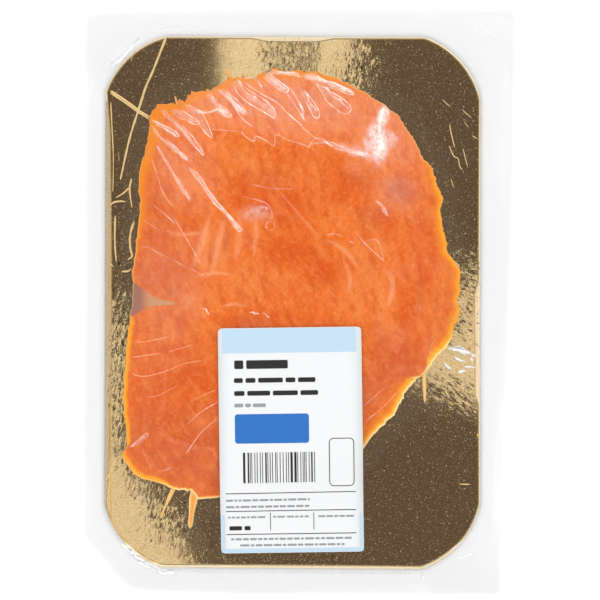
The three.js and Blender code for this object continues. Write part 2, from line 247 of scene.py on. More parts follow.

# %% [markdown]
# ## Strands
# A few strands of flesh hang out past the cut edge and lie on the card. Each is a path from its
# root to its tip with a half width, a height, and how much of the painted glow of light through
# thin flesh it takes.

# %% Strands of each slice
TOP_STRANDS = [
    ([(-52, -76), (-54.2, -80.8), (-56.4, -85.6), (-58.8, -91.4)], 0.9, 0.45, 0.5),
    ([(-44, -78), (-44.9, -83.4), (-45.6, -89), (-46.3, -95.4)], 1.8, 0.55, 0.0),
    ([(-50.4, 81), (-51.9, 84), (-52.6, 86.6)], 0.8, 0.5, 0.3),
    ([(-24.8, 93), (-29.4, 94.2), (-31.9, 98.1)], 1.0, 0.5, 0.2),
]
UNDER_STRANDS = [([(51.9, -28), (52.2, -32.5), (52.5, -42.6)], 0.95, 0.45, 0.6)]


def strand_top(x, y):
    """The highest strand at each place, or nothing."""
    top = np.zeros_like(x)
    for points, half_width, height, _ in [*TOP_STRANDS, *UNDER_STRANDS]:
        for start, end in zip(points, points[1:]):
            run = np.array(end, float) - start
            share = np.clip(((x - start[0]) * run[0] + (y - start[1]) * run[1]) / (run @ run), 0, 1)
            gap = np.hypot(x - start[0] - share * run[0], y - start[1] - share * run[1])
            top = np.maximum(top, np.where(gap < half_width, FISH_Z + height, 0))
    return top


print(len(TOP_STRANDS) + len(UNDER_STRANDS), "strands")

# %% [markdown]
# ## Heights
# A slice is thin at its cut edge and swells inwards like a lens. The top slice climbs over the
# edge of the one underneath. The lower web is flat under the card, climbs a small well past it
# and runs out along the flange. All of these work on numpy arrays, so one call gives the height
# of every vertex of a piece.

# %% Heights of the fish and the lower web, in millimetres above the table
UNDER_THICKNESS = 2.4
TOP_THICKNESS = 3.1
RIM = 0.7  # thickness of a slice at its cut edge
SHOULDER = 6  # how far in it has most of its full thickness
RELIEF = 0.16  # height of the waves where flakes lie
DRAPE = (-4, 14)  # the top slice climbs from this far outside the one underneath to this inside
WELL = (0.8, 4.4)  # how far outside the card the lower web leaves the table and meets the flange
FLANGE_Z = 1.3  # depth of the well
FLANGE_RISE = 0.9  # how much further the flange climbs
FLANGE_END = 18  # how far outside the card it has climbed
FLANGE_WAVE = 0.3


def slice_thickness(inside, full):
    return RIM + (full - RIM) * (1 - np.exp(-np.maximum(inside, 0) / SHOULDER))


def flesh_waves(x, y):
    """Soft waves across the slice, where its flakes lie."""
    waves = np.sin(0.16 * x + 0.31 * y + 1.4) + np.sin(0.27 * x - 0.11 * y)
    return RELIEF * 0.5 * waves * smooth(-30, 10, y)


def under_top(x, y):
    return FISH_Z + slice_thickness(UNDER.inside(x, y), UNDER_THICKNESS)


def top_top(x, y):
    drape = (UNDER_THICKNESS + GAP) * smooth(*DRAPE, UNDER_CUT.inside(x, y))
    return FISH_Z + drape + slice_thickness(TOP.inside(x, y), TOP_THICKNESS) + flesh_waves(x, y)


def top_bottom(x, y):
    """The top slice's underside: on the card, or clear of the slice underneath."""
    lifted = slice_thickness(UNDER.inside(x, y), UNDER_THICKNESS) + GAP
    return FISH_Z + lifted * smooth(-1.2, 0, UNDER.inside(x, y))


def lower_web(x, y):
    """The upper face of the lower web."""
    outside = -CARD.inside(x, y)
    wave = FLANGE_WAVE * np.sin(0.05 * x + 0.4) * np.sin(0.043 * y + 0.9)
    flange = FLANGE_Z * smooth(*WELL, outside)
    return WEB + flange + (FLANGE_RISE + wave) * smooth(WELL[1], FLANGE_END, outside)


print("fish is", top_top(np.array([0.0]), np.array([0.0])).round(2), "mm high at its middle")

# %% [markdown]
# ## Making a mesh
# Most pieces are a grid of vertices that is bent into place, as a sheet would be. For a closed
# body the grid is rolled up: its first and last column meet, and a row at one point closes a
# pole, and then doubles are merged. A ridge, such as a crease in film, is a grid too: a few
# columns across and many along a smooth path. Its fourth number says how strong it is there.

# %% Grids, rings and ridges
COLLECTION = bpy.context.collection
WIDTH_KNOTS = 2.2  # a ridge's width swells from knot to knot, this many millimetres apart
STRENGTH_KNOTS = 4  # and so does its strength
THINNEST_TIP = 0.0004  # the square of the share of its width that a tip keeps
SIDE_FADE = 1.4  # towards its sides the strength falls off as this power of the height


def bent_grid(places):
    """A grid with its vertices moved to places: rows x columns x 3, in millimetres."""
    rows, columns = places.shape[:2]
    bm = bmesh.new()
    bmesh.ops.create_grid(bm, x_segments=columns - 1, y_segments=rows - 1, size=1)
    order = []
    for vert in bm.verts:
        column = round((vert.co.x + 1) / 2 * (columns - 1))
        row = round((vert.co.y + 1) / 2 * (rows - 1))
        vert.co = places[row, column, :3] * MM
        order.append((row, column))
    return bm, order


def rolled(places):
    """A bent grid whose first and last columns meet, with its poles closed."""
    bm, _ = bent_grid(places)
    bmesh.ops.remove_doubles(bm, verts=bm.verts, dist=1e-7)
    bmesh.ops.recalc_face_normals(bm, faces=bm.faces)
    return bm


def bearings(count):
    """Bearings all the way round, the last one the same as the first."""
    return np.linspace(0, 2 * np.pi, count + 1)


def ring(around, distance, height):
    """A row of places at a distance from the centre; height is a number or a function."""
    x = CENTRE[0] + distance * np.cos(around)
    y = CENTRE[1] + distance * np.sin(around)
    z = height(x, y) if callable(height) else np.full_like(x, height)
    return np.stack([x, y, z], axis=-1)


def curve_through(points, step=0.8):
    """A smooth open curve through the points, sampled every step millimetres or so."""
    knots = [Vector((*point, 0)) for point in points]
    ends = [2 * knots[0] - knots[1], *knots, 2 * knots[-1] - knots[-2]]
    curve = []
    for before, start, end, after in zip(ends, ends[1:], ends[2:], ends[3:]):
        count = max(3, int((end - start).length / step) + 2)
        handles = start + (end - before) / 6, end - (after - start) / 6
        curve += geometry.interpolate_bezier(start, *handles, end, count)[:-1]
    return np.array([point.to_2d() for point in [*curve, knots[-1]]])


def swelling(along, step):
    """A seeded swell between -1 and 1 along a path, with a knot every step millimetres."""
    count = max(4, int(along[-1] / step))
    return np.interp(along, np.linspace(0, along[-1], count), rng.uniform(-1, 1, count))


def ridge_places(
    points, half_width, height, base, strength=1.0, narrow=1.0, end=2.5, uneven=0.25, across=7
):
    """Rows of places for an arched ridge along a path: round at both ends, narrower to its tip."""
    path = curve_through(points)
    along = np.concatenate([[0], np.cumsum(np.linalg.norm(np.diff(path, axis=0), axis=1))])
    heading = np.gradient(path, axis=0)
    heading /= np.linalg.norm(heading, axis=1, keepdims=True)
    side = np.stack([-heading[:, 1], heading[:, 0]], axis=-1)
    length = along[-1]
    from_end = np.minimum(along, length - along) / min(end, length / 2)
    fullness = np.sqrt(np.clip(1 - (1 - np.clip(from_end, 0, 1)) ** 2, THINNEST_TIP, 1))
    swell = 1 + uneven * swelling(along, WIDTH_KNOTS)
    width = half_width * fullness * swell * (1 + (narrow - 1) * along / length)
    strong = strength * (1 + uneven * swelling(along, STRENGTH_KNOTS))
    strong = np.clip(strong, 0, 1)[:, None]
    share = np.linspace(-1, 1, across)
    x = path[:, :1] + side[:, :1] * width[:, None] * share
    y = path[:, 1:] + side[:, 1:] * width[:, None] * share
    arch = fullness[:, None] * (1 - share**2)
    return np.stack([x, y, base(x, y) + height * arch, strong * arch**SIDE_FADE], axis=-1)


def join(bm, part):
    """Moves a part's whole mesh into bm."""
    mesh = bpy.data.meshes.new("part")
    part.to_mesh(mesh)
    part.free()
    bm.from_mesh(mesh)
    bpy.data.meshes.remove(mesh)


def add_rows(bm, places, numbers):
    """Adds a bent grid with its faces upwards, and each vertex's fourth number to the list."""
    part, order = bent_grid(places)
    numbers += [places[row, column, 3] for row, column in order]
    if sum(face.normal.z for face in part.faces) < 0:
        bmesh.ops.reverse_faces(part, faces=part.faces)
    join(bm, part)


print("grids bend into every thin piece")

# %% Handing a piece over


def finished(name, bm, materials, stands_for, solidify=0.0, casts=True):
    """Makes the object, hides the solid it stands for, and gives it its material."""
    for face in bm.faces:
        face.smooth = True
    mesh = bpy.data.meshes.new(name)
    bm.to_mesh(mesh)
    bm.free()
    for material in materials:
        mesh.materials.append(material)
    piece = bpy.data.objects.new(name, mesh)
    COLLECTION.objects.link(piece)
    if solidify:
        wall = piece.modifiers.new("wall", "SOLIDIFY")
        wall.thickness = solidify * MM
        wall.offset = -1
    piece.visible_shadow = casts
    piece.visible_diffuse = casts
    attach(piece, "root")
    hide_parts(*stands_for)
    print(name, len(mesh.polygons), "faces")
    return piece


def mark(piece, name, values):
    """Stores one number a vertex, for a material to read."""
    attribute = piece.data.attributes.new(name, "FLOAT", "POINT")
    attribute.data.foreach_set("value", np.asarray(values, np.float32))


def vertex_xy(piece):
    """The x and y of every vertex, in millimetres."""
    flat = np.empty(3 * len(piece.data.vertices))
    piece.data.vertices.foreach_get("co", flat)
    return flat[0::3] / MM, flat[1::3] / MM


def ridge_piece(name, ridges, material, stands_for, casts=True):
    """One piece of many ridges. Gives it back with how strong each of its vertices is."""
    bm = bmesh.new()
    strengths = []
    for places in ridges:
        add_rows(bm, places, strengths)
    return finished(name, bm, [material], [stands_for], casts=casts), strengths


print("pieces ride on the one body, root")

# %% [markdown]
# ## Making a material
# One small function adds a node with its settings and its links, and every material below is
# written with it. Patterns read the piece's own Object coordinates in metres, so a scale is one
# over a real size. A Mapping node of the Texture kind turns and stretches a pattern.

# %% Nodes


def node(tree, kind, sockets=None, **settings):
    """Adds a node; each socket takes a value, or the output of another node."""
    made = tree.nodes.new(kind)
    for name, value in settings.items():
        setattr(made, name, value)
    for name, value in (sockets or {}).items():
        if isinstance(value, bpy.types.NodeSocket):
            tree.links.new(value, made.inputs[name])
        else:
            made.inputs[name].default_value = value
    return made


def new_material(name):
    """An empty material and its node tree."""
    material = bpy.data.materials.new(name)
    material.use_nodes = True
    material.node_tree.nodes.clear()
    return material, material.node_tree


def per_mm(size):
    """The scale of a noise whose features are that many millimetres across."""
    return 1 / (size * MM)


print("a 2 mm pattern has a scale of", per_mm(2))

# %% [markdown]
# ## Clear film
# The webs are a coextruded nylon and polythene film, blown and then drawn over the food. Light
# goes straight through it, and what the eye sees is the thin reflection at each face, rising
# fast at a slant. A glass shader would bend the light of a sheet with no real inside, so this
# one mixes clear with gloss by Schlick's rule. A face in air reflects 4 percent, but of each
# web one face lies on wet fish, card or the other web, so the two faces share less. A crease is
# two layers with air between, which reflect 8 percent. A painted highlight is laid on it too, a
# diffuse veil with a patchy noise, and a number on the vertices says how much; on the web the
# same veil is a faint haze, with painted sheen over the fish. A second number paints shade on
# the web, so it is a little darker near the card, along the near end and at the sides.

# %% Film materials
# tints of the web's painted shade: none, and most
UNSHADED_TINT = (0.998, 0.998, 0.998, 1)
SHADE_TINT = (0.984, 0.985, 0.986, 1)
PATCHES = {1: 0.36, 2: 0.62, 3: 0.3, 4: 1.15}  # a range of noise, and the share of veil it gives


def film(name, square_on, haze_and_sheen, ripple, white="FCEFE8"):
    """A clear film that reflects the share square_on at each face; haze_and_sheen names its veil's
    mark.
    """
    material, tree = new_material(name)
    place = node(tree, "ShaderNodeTexCoord").outputs["Object"]
    waves = node(tree, "ShaderNodeTexNoise", {"Vector": place, "Scale": per_mm(5), "Detail": 2.0})
    sockets = {"Height": waves.outputs["Fac"], "Distance": ripple * MM}
    bump = node(tree, "ShaderNodeBump", sockets).outputs["Normal"]
    slant = node(tree, "ShaderNodeLayerWeight", {"Blend": 0.5}).outputs["Facing"]
    fifth = node(tree, "ShaderNodeMath", {0: slant, 1: 5.0}, operation="POWER").outputs[0]
    sockets = {0: fifth, 1: 1 - square_on, 2: square_on}
    schlick = node(tree, "ShaderNodeMath", sockets, operation="MULTIPLY_ADD").outputs[0]
    sockets = {"Color": (1, 1, 1, 1), "Roughness": 0.05, "Normal": bump}
    gloss = node(tree, "ShaderNodeBsdfGlossy", sockets).outputs[0]
    # a mark of painted shade darkens the clear tint
    painted_shade = node(tree, "ShaderNodeAttribute", attribute_name="painted_shade").outputs["Fac"]
    sockets = {0: painted_shade, 6: UNSHADED_TINT, 7: SHADE_TINT}
    tint = node(tree, "ShaderNodeMix", sockets, data_type="RGBA").outputs[2]
    clear = node(tree, "ShaderNodeBsdfTransparent", {"Color": tint}).outputs[0]
    # the veil's warm white paints the highlight of creases
    veil = node(tree, "ShaderNodeBsdfDiffuse", {"Color": linear(white)}).outputs[0]
    marked = node(tree, "ShaderNodeAttribute", attribute_name=haze_and_sheen).outputs["Fac"]
    sockets = {"Vector": place, "Scale": per_mm(2.6), "Detail": 4.0, "Roughness": 0.75}
    patchy = node(tree, "ShaderNodeTexNoise", sockets).outputs["Fac"]
    patchy = node(tree, "ShaderNodeMapRange", {0: patchy, **PATCHES}).outputs[0]
    sockets = {0: marked, 1: patchy}
    veil_share = node(tree, "ShaderNodeMath", sockets, operation="MULTIPLY", use_clamp=True).outputs[0]
    body = node(tree, "ShaderNodeMixShader", {"Fac": veil_share, 1: clear, 2: veil}).outputs[0]
    surface = node(tree, "ShaderNodeMixShader", {"Fac": schlick, 1: body, 2: gloss}).outputs[0]
    node(tree, "ShaderNodeOutputMaterial", {"Surface": surface})
    return material


WEB_GLOSS = 0.013
CREASE_GLOSS = 0.08
web_film = film("Clear laminated film", WEB_GLOSS, "haze_and_sheen", 0.03)
# creases and crinkles get their white highlight painted by the veil
fold_film = film("Clear film, creased, painted highlight", CREASE_GLOSS, "painted_highlight", 0.01)
crinkle_film = film("Clear film, crinkled, painted highlight", CREASE_GLOSS, "painted_highlight", 0.01, "FFFFFF")
print(f"film reflects {WEB_GLOSS:.1%} a face, and {CREASE_GLOSS:.0%} where it is creased")

# %% [markdown]
# ## Gold foil card
# The card is white board laminated with a metallised, gold-lacquered foil. Square on it is a
# mirror with a fine crumple, so it shows the dark of the ceiling nearly everywhere, and bright
# gold only where it turns towards a light. Crumpled foil is made of small flat facets, and each
# cell of a Voronoi pattern has a colour of its own, which serves as the tilt of one facet. Cubed,
# most tilts are slight and a few are strong. A hundredth already moves a reflection by 12 mm. A
# number on the vertices says how crumpled the foil is there, and so how many dark flecks are
# painted on it, a painted reflection of the dark ceiling in small facets. Facets and flecks are
# drawn out in one direction, and a second number says how far it leans. The lacquer has a fine
# grain and a few matt specks. Where the foil is pressed or creased it scatters light as well as
# mirroring it.

# %% Gold foil
STRETCH = 3.2  # how long a facet is for its width
FACETS = [(0.36, 0.7), (0.75, 1.0)]  # size of a facet in mm, and its share of the tilt
CUBED_UP = 8  # tilts run to a half, so their cubes run to an eighth
DARK_FLECK_NOISE = {1: 0.3, 2: 1.4, 3: 0.75, 4: 0.61}  # more crumpled foil gets painted dark flecks from less noise
MATT_NOISE = {1: 0.624, 2: 0.755}  # from where the lacquer turns matt to where it wholly is


def gold_foil(name, roughness, metallic, glint, waves, colours):
    """Foil with facets that tilt by up to glint, over waves of that height in millimetres."""
    material, tree = new_material(name)
    place = node(tree, "ShaderNodeTexCoord").outputs["Object"]
    crumple = node(tree, "ShaderNodeAttribute", attribute_name="crumple").outputs["Fac"]
    sockets = {"Vector": place, "Scale": per_mm(26), "Detail": 1.0}
    slow = node(tree, "ShaderNodeTexNoise", sockets).outputs["Fac"]
    bump = node(tree, "ShaderNodeBump", {"Height": slow, "Distance": waves * MM}).outputs["Normal"]
    lean = node(tree, "ShaderNodeAttribute", attribute_name="lean").outputs["Fac"]
    turn = node(tree, "ShaderNodeCombineXYZ", {2: lean}).outputs[0]
    sockets = {"Vector": place, "Rotation": turn, "Scale": (1, STRETCH, 1)}
    streaky = node(tree, "ShaderNodeMapping", sockets, vector_type="TEXTURE").outputs[0]
    for size, share in FACETS:
        facet = node(tree, "ShaderNodeTexVoronoi", {"Vector": streaky, "Scale": per_mm(size)})
        sockets = {0: facet.outputs["Color"], 1: (0.5, 0.5, 0.5)}
        tilt = node(tree, "ShaderNodeVectorMath", sockets, operation="SUBTRACT").outputs[0]
        sockets = {0: tilt, 1: tilt}
        squared = node(tree, "ShaderNodeVectorMath", sockets, operation="MULTIPLY").outputs[0]
        sockets = {0: squared, 1: tilt}
        cubed = node(tree, "ShaderNodeVectorMath", sockets, operation="MULTIPLY").outputs[0]
        sockets = {0: crumple, 1: CUBED_UP * glint * share}
        most = node(tree, "ShaderNodeMath", sockets, operation="MULTIPLY").outputs[0]
        sockets = {0: cubed, "Scale": most}
        tilt = node(tree, "ShaderNodeVectorMath", sockets, operation="SCALE").outputs[0]
        bump = node(tree, "ShaderNodeVectorMath", {0: bump, 1: tilt}, operation="ADD").outputs[0]
    normal = node(tree, "ShaderNodeVectorMath", {0: bump}, operation="NORMALIZE").outputs[0]
    # dark flecks are painted where a noise passes a threshold: a painted reflection of the dark ceiling
    sockets = {"Vector": streaky, "Scale": per_mm(1.0), "Detail": 3.0, "Roughness": 0.6}
    fleck_noise = node(tree, "ShaderNodeTexNoise", sockets).outputs["Fac"]
    threshold = node(tree, "ShaderNodeMapRange", {0: crumple, **DARK_FLECK_NOISE}).outputs[0]
    sockets = {0: fleck_noise, 1: threshold}
    above = node(tree, "ShaderNodeMath", sockets, operation="SUBTRACT").outputs[0]
    painted_dark_fleck = node(tree, "ShaderNodeMapRange", {0: above, 1: 0.0, 2: 0.03, 4: 0.85}).outputs[0]
    sockets = {"Vector": place, "Scale": per_mm(0.6), "Detail": 3.0, "Roughness": 0.7}
    speck = node(tree, "ShaderNodeTexNoise", sockets).outputs["Fac"]
    grain = node(tree, "ShaderNodeMapRange", {0: speck, 1: 0.3, 2: 0.7}).outputs[0]
    sockets = {0: grain, 6: linear(colours[0]), 7: linear(colours[1])}
    tone = node(tree, "ShaderNodeMix", sockets, data_type="RGBA").outputs[2]
    # the painted reflection flecks are dark brown
    sockets = {0: painted_dark_fleck, 6: tone, 7: linear("4A3A26")}
    tone = node(tree, "ShaderNodeMix", sockets, data_type="RGBA").outputs[2]
    sockets = {0: crumple, 1: 0.03, 2: speck}
    speck = node(tree, "ShaderNodeMath", sockets, operation="MULTIPLY_ADD").outputs[0]
    sockets = {0: speck, **MATT_NOISE, 3: roughness, 4: roughness + 0.45}
    matt = node(tree, "ShaderNodeMapRange", sockets).outputs[0]
    sockets = {0: speck, **MATT_NOISE, 3: metallic, 4: 0.5 * metallic}
    scatter = node(tree, "ShaderNodeMapRange", sockets).outputs[0]
    sockets = {"Base Color": tone, "Metallic": scatter, "Roughness": matt, "Normal": normal}
    surface = node(tree, "ShaderNodeBsdfPrincipled", sockets).outputs[0]
    node(tree, "ShaderNodeOutputMaterial", {"Surface": surface})
    return material


foil = gold_foil("Gold foil laminate", 0.05, 1.0, 0.011, 0.03, ("CFAA64", "F8E2B0"))
crease_foil = gold_foil("Gold foil, creased", 0.3, 0.5, 0.05, 0.0, ("E2BC7C", "F0D096"))
# the pressed edge on the left is a darker copy of the foil, painted shade, and the rest of the rim a
# paler copy, a painted highlight
shaded_edge_foil = gold_foil("Gold foil, pressed edge, painted shade", 0.42, 0.5, 0.05, 0.0, ("A68C66", "D8C49C"))
lit_lip_foil = gold_foil("Gold foil, rolled lip, painted highlight", 0.35, 0.4, 0.05, 0.0, ("E6CDA2", "F2DFBC"))
amber_foil = gold_foil("Amber lacquer at the fold", 0.35, 0.4, 0.05, 0.0, ("D29848", "E2AC62"))
print("foil has facets of", [size for size, _ in FACETS], "mm")

# %% The board under the foil
board, tree = new_material("Uncoated white board")
place = node(tree, "ShaderNodeTexCoord").outputs["Object"]
fibre = node(tree, "ShaderNodeTexNoise", {"Vector": place, "Scale": per_mm(0.6), "Detail": 4.0})
sockets = {0: fibre.outputs["Fac"], 6: linear("E9E6DF"), 7: linear("D9D5CB")}
tone = node(tree, "ShaderNodeMix", sockets, data_type="RGBA").outputs[2]
surface = node(tree, "ShaderNodeBsdfPrincipled", {"Base Color": tone, "Roughness": 0.8}).outputs[0]
node(tree, "ShaderNodeOutputMaterial", {"Surface": surface})
print("the card's back is plain board")

# %% The card
CARD_BEARINGS = bearings(720)
FOIL, SHADED_EDGE, BOARD, LIT_LIP = range(4)
# how far in from the edge, as a share of the pressed edge and more millimetres, and how high
CARD_PROFILE = [
    (0, 0.3, CARD_BOTTOM),
    (0, 0, CARD_BOTTOM + 0.15),
    (0, 0, CARD_TOP - 0.35),
    (0.5, 0, CARD_TOP - 0.12),
    (1, 0, CARD_TOP),
    (1, 0.6, CARD_TOP),
]


def bevel_width(x, y):
    """The pressed edge is widest along the left side and the lower right side."""
    left = smooth(-76, -80, x) * smooth(92, 70, y) * smooth(-88, -74, y)
    right = smooth(72, 75, x) * smooth(9, 3, y) * smooth(-44, -40, y)
    far = smooth(100, 106, y) * smooth(-22, -12, x) * smooth(16, 6, x)
    near = smooth(-100, -106, y)
    return 0.6 + 1.9 * left + 1.5 * right + 1.3 * far + 0.5 * near


card_edge = CARD.reach(CARD_BEARINGS)
edge_x = CENTRE[0] + card_edge * np.cos(CARD_BEARINGS)
edge_y = CENTRE[1] + card_edge * np.sin(CARD_BEARINGS)
bevel = bevel_width(edge_x, edge_y)
card_rows = [ring(CARD_BEARINGS, card_edge * 0, CARD_BOTTOM)]
for share, inset, height in CARD_PROFILE:
    card_rows.append(ring(CARD_BEARINGS, card_edge - share * bevel - inset, height))
shares = np.linspace(0.96, 0, 20)
card_rows += [ring(CARD_BEARINGS, card_edge * share, CARD_TOP) for share in shares]
card_bm = rolled(np.array(card_rows))
for face in card_bm.faces:
    x, y, z = face.calc_center_median() / MM
    turn = math.atan2(y - CENTRE[1], x - CENTRE[0])
    rim_x = CENTRE[0] + CARD.reach(turn) * math.cos(turn)
    rim_y = CENTRE[1] + CARD.reach(turn) * math.sin(turn)
    if face.normal.z < -0.5:
        face.material_index = BOARD
    elif CARD.inside(x, y) < bevel_width(rim_x, rim_y):
        # the left edge takes the painted shade, the rest of the rim the painted highlight
        face.material_index = SHADED_EDGE if rim_x < -74 and rim_y < 84 else LIT_LIP
    else:
        face.material_index = FOIL
card_materials = [foil, shaded_edge_foil, board, lit_lip_foil]
card = finished("foil_card", card_bm, card_materials, ["gold_board"])

# %% How crumpled the foil is
CALM = 0.22  # how crumpled it is outside the zones
LEANS = (-8, 55)  # in degrees, at the left and at the right
# how much, the middle, the half sizes and the turn of each oval zone
CALMER = [(0.17, (-36, 103), (10, 18), 0)]
CRUMPLED = [
    (0.8, (-56, -90), (14, 22), -50),
    (0.5, (-70, -85), (12, 26), 0),
    (2.2, (-75, -26), (8, 34), 0),
    (1.7, (-6, 104), (12, 14), 0),
    (0.3, (-20, 104), (9, 14), 0),
    (1.2, (24, 96), (12, 14), -40),
    (1.6, (70, 6), (12, 18), 0),
    (0.8, (66, -38), (18, 12), -22),
    (0.6, (-5, -107), (46, 5), 0),
    (0.9, (-75, 18), (7, 22), 0),
    (2.2, (67, -10), (10, 15), 0),
]


def oval(x, y, centre, size, turn):
    """1 in the middle of an oval zone of those half sizes, and 0 outside it."""
    cos, sin = math.cos(math.radians(turn)), math.sin(math.radians(turn))
    along = ((x - centre[0]) * cos + (y - centre[1]) * sin) / size[0]
    across = ((y - centre[1]) * cos - (x - centre[0]) * sin) / size[1]
    return smooth(1.4, 0.3, np.hypot(along, across))


def zone(x, y, ovals):
    """The strongest of the ovals at each place."""
    return np.max([most * oval(x, y, *rest) for most, *rest in ovals], axis=0)


x, y = vertex_xy(card)
mark(card, "crumple", CALM - zone(x, y, CALMER) + zone(x, y, CRUMPLED))
mark(card, "lean", np.radians(LEANS[0] + (LEANS[1] - LEANS[0]) * smooth(34, 42, x)))
print(len(CRUMPLED), "crumpled zones")

# %% [markdown]
# ## Creases in the foil
# The card was bent when it was packed, and two sharp creases and many short kinks stayed in its
# foil. Each kink catches the light from some side, so it is a low ridge of brushed-looking gold.
# The lacquer has run amber along the fold at the lower left edge.

# %% Creases in the foil
CREASES = [
    ([(-56.3, 111.2), (-61.6, 97.6), (-64.8, 90.3), (-67.7, 81.3), (-71.8, 68.1), (-75.6, 51)], 0.5),
    ([(-79.9, 88.8), (-74.4, 85.3), (-68, 80.6), (-62.9, 77.3)], 0.4),
    ([(-79.9, 87.9), (-74.4, 84.2), (-68.2, 79.8), (-63.1, 76.5)], 0.35),
    ([(-79.6, 84), (-79, 72), (-78.6, 63.6), (-78.5, 58.6), (-78.7, 46)], 0.24),
    ([(-76.4, 63), (-76, 58.8)], 0.12),
    ([(-70.8, 51.9), (-71.6, 48.1), (-71.4, 44.3), (-70.6, 39.3)], 0.4),
    ([(-71.6, 48.1), (-74.3, 45.6), (-77.7, 43.5)], 0.4),
    ([(-79.8, 40.5), (-78.1, 41.8), (-74.8, 42.2), (-73.1, 41.8)], 0.4),
    ([(-77.7, 36.3), (-77.9, 25.8), (-77.3, 16.6)], 0.35),
    ([(-69.7, 33.8), (-71, 30), (-71.6, 25.8), (-71.2, 21.6), (-70.6, 19.1), (-72.7, 17.4)], 0.45),
    ([(-79.8, 16.2), (-78.5, 14.5)], 0.3),
    ([(-75.2, 12.6), (-72.2, 12.8), (-71, 14.1)], 0.4),
    ([(-71.2, 101), (-69.6, 106)], 0.12),
    ([(-75.5, 103.6), (-73.1, 102.3)], 0.12),
    ([(59.6, 85.1), (63.4, 81.7)], 0.15),
    ([(68, 80.9), (72.2, 77.1)], 0.15),
    ([(68.9, 75.8), (71, 72.9)], 0.15),
    ([(63, 74.6), (63.4, 71.6), (65.1, 64.5)], 0.26),
    ([(62.6, 65.7), (64.7, 61.1), (66.4, 60.3), (67.2, 56.9), (68.5, 55.2)], 0.24),
    ([(68.5, 64.5), (70.6, 56.1)], 0.18),
    ([(72.2, 69.9), (74.8, 68.3)], 0.22),
    ([(63.4, 51.9), (64.7, 47.7)], 0.16),
    ([(66.8, -76.8), (71.8, -76.9)], 0.3),
    ([(-75.3, -64.6), (-77.4, -66.2), (-79.2, -69.4), (-80, -72.4), (-81.8, -75.4)], 0.32),
]
AMBER = [
    ([(-79.6, -41.4), (-79.6, -66.6), (-79.4, -89.7), (-77.5, -95), (-73.5, -100.2), (-65.1, -108),
      (-58.8, -110)], 0.26),
    ([(-79.7, 30), (-79.6, 0), (-79.6, -41.4)], 0.14),
    ([(73.6, 4), (73.4, -18), (73.7, -42)], 0.2),
    ([(74.7, -55.2), (74.8, -57.2)], 0.45),
]


def on_card(x, y):
    return np.full_like(x, CARD_TOP)


def crease(points, half_width):
    return ridge_places(points, half_width, 0.25 * half_width, on_card, narrow=0.7)


for name, paths, material in (
    ("foil_creases", CREASES, crease_foil),
    ("amber_line", AMBER, amber_foil),
):
    ridge_piece(name, [crease(*path) for path in paths], material, "gold_board")

# %% [markdown]
# ## Fish
# Sliced smoked salmon is wet, dense and slightly see-through, so light goes a little way in and
# comes back redder. Thin edges glow amber, because light comes back through them from the gold,
# and that glow is painted into the colour. The film is wetted to it, so it has hardly a shine of
# its own. The colour is built up in layers: noises at the sizes of flakes, streaks and marbling,
# and marks on the vertices that say where the flesh is paler, deeper or grey, and where it is
# thin and the light through it is painted.

# %% Salmon flesh
# A pattern is the size of a feature in mm, its stretch, its turn, the range of noise that shows,
# how much, and a tint. A zone is the name of a mark on the vertices, and a tint.
FLESH_LAYERS = [
    (24, (1, 1), 0, (0.35, 0.65), 0.7, "DE752D"),
    (9, (1, 2.2), 12, (0.45, 0.65), 0.5, "D2581F"),
    (4, (1, 4), 8, (0.45, 0.65), 0.5, "E68340"),
    (0.8, (1, 9), -42, (0.55, 0.7), 0.35, "EB9A64"),
    (0.8, (9, 1), 4, (0.6, 0.74), 0.3, "C65424"),
    (2.6, (1, 1), 0, (0.5, 0.7), 0.3, "E48340"),
    (1.1, (1, 1), 0, (0.55, 0.68), 0.4, "EE9D5C"),
    (1.5, (1, 1.6), -30, (0.56, 0.7), 0.4, "C04A1E"),
    (0.5, (1, 1.4), 50, (0.52, 0.68), 0.22, "EE9B5A"),
    ("deep", "CF5420"),
    # pale holds the painted reflection at the far end, and dull a painted shadow by the label
    ("pale", "E8905C"),
    ("dull", "C05E3C"),
    (5, (1, 1.8), -25, (0.5, 0.62), 0.25, "E88C4C"),
    (3.2, (1, 2.5), 15, (0.5, 0.62), 0.5, "C85422"),
    (3, (1, 5), 35, (0.52, 0.66), 0.22, "EC965A"),
    (1.3, (1, 1.6), 60, (0.53, 0.68), 0.25, "EE9E66"),
    ("grey", "986A5A"),
    ("tan", "BE946A"),
    # amber, vivid and glow paint the light that comes back through the thin cut edge
    ("amber", "E4882A"),
    ("vivid", "F6A838"),
    ("glow", "F9E2A0"),
]
flesh, tree = new_material("Smoked salmon flesh")
place = node(tree, "ShaderNodeTexCoord").outputs["Object"]
colour = linear("D86627")
for layer in FLESH_LAYERS:
    if len(layer) == 2:
        mark_name, tint = layer
        share = node(tree, "ShaderNodeAttribute", attribute_name=mark_name).outputs["Fac"]
    else:
        size, (x, y), turn, (low, high), most, tint = layer
        sockets = {"Vector": place, "Rotation": (0, 0, math.radians(turn)), "Scale": (x, y, 1)}
        turned = node(tree, "ShaderNodeMapping", sockets, vector_type="TEXTURE").outputs[0]
        sockets = {"Vector": turned, "Scale": per_mm(size), "Detail": 5.0, "Roughness": 0.6}
        noise = node(tree, "ShaderNodeTexNoise", sockets).outputs["Fac"]
        share = node(tree, "ShaderNodeMapRange", {0: noise, 1: low, 2: high, 4: most}).outputs[0]
    sockets = {0: share, 6: colour, 7: linear(tint)}
    colour = node(tree, "ShaderNodeMix", sockets, data_type="RGBA").outputs[2]
sockets = {"Color": colour, "Value": 0.915, "Saturation": 1.025}
colour = node(tree, "ShaderNodeHueSaturation", sockets).outputs[0]
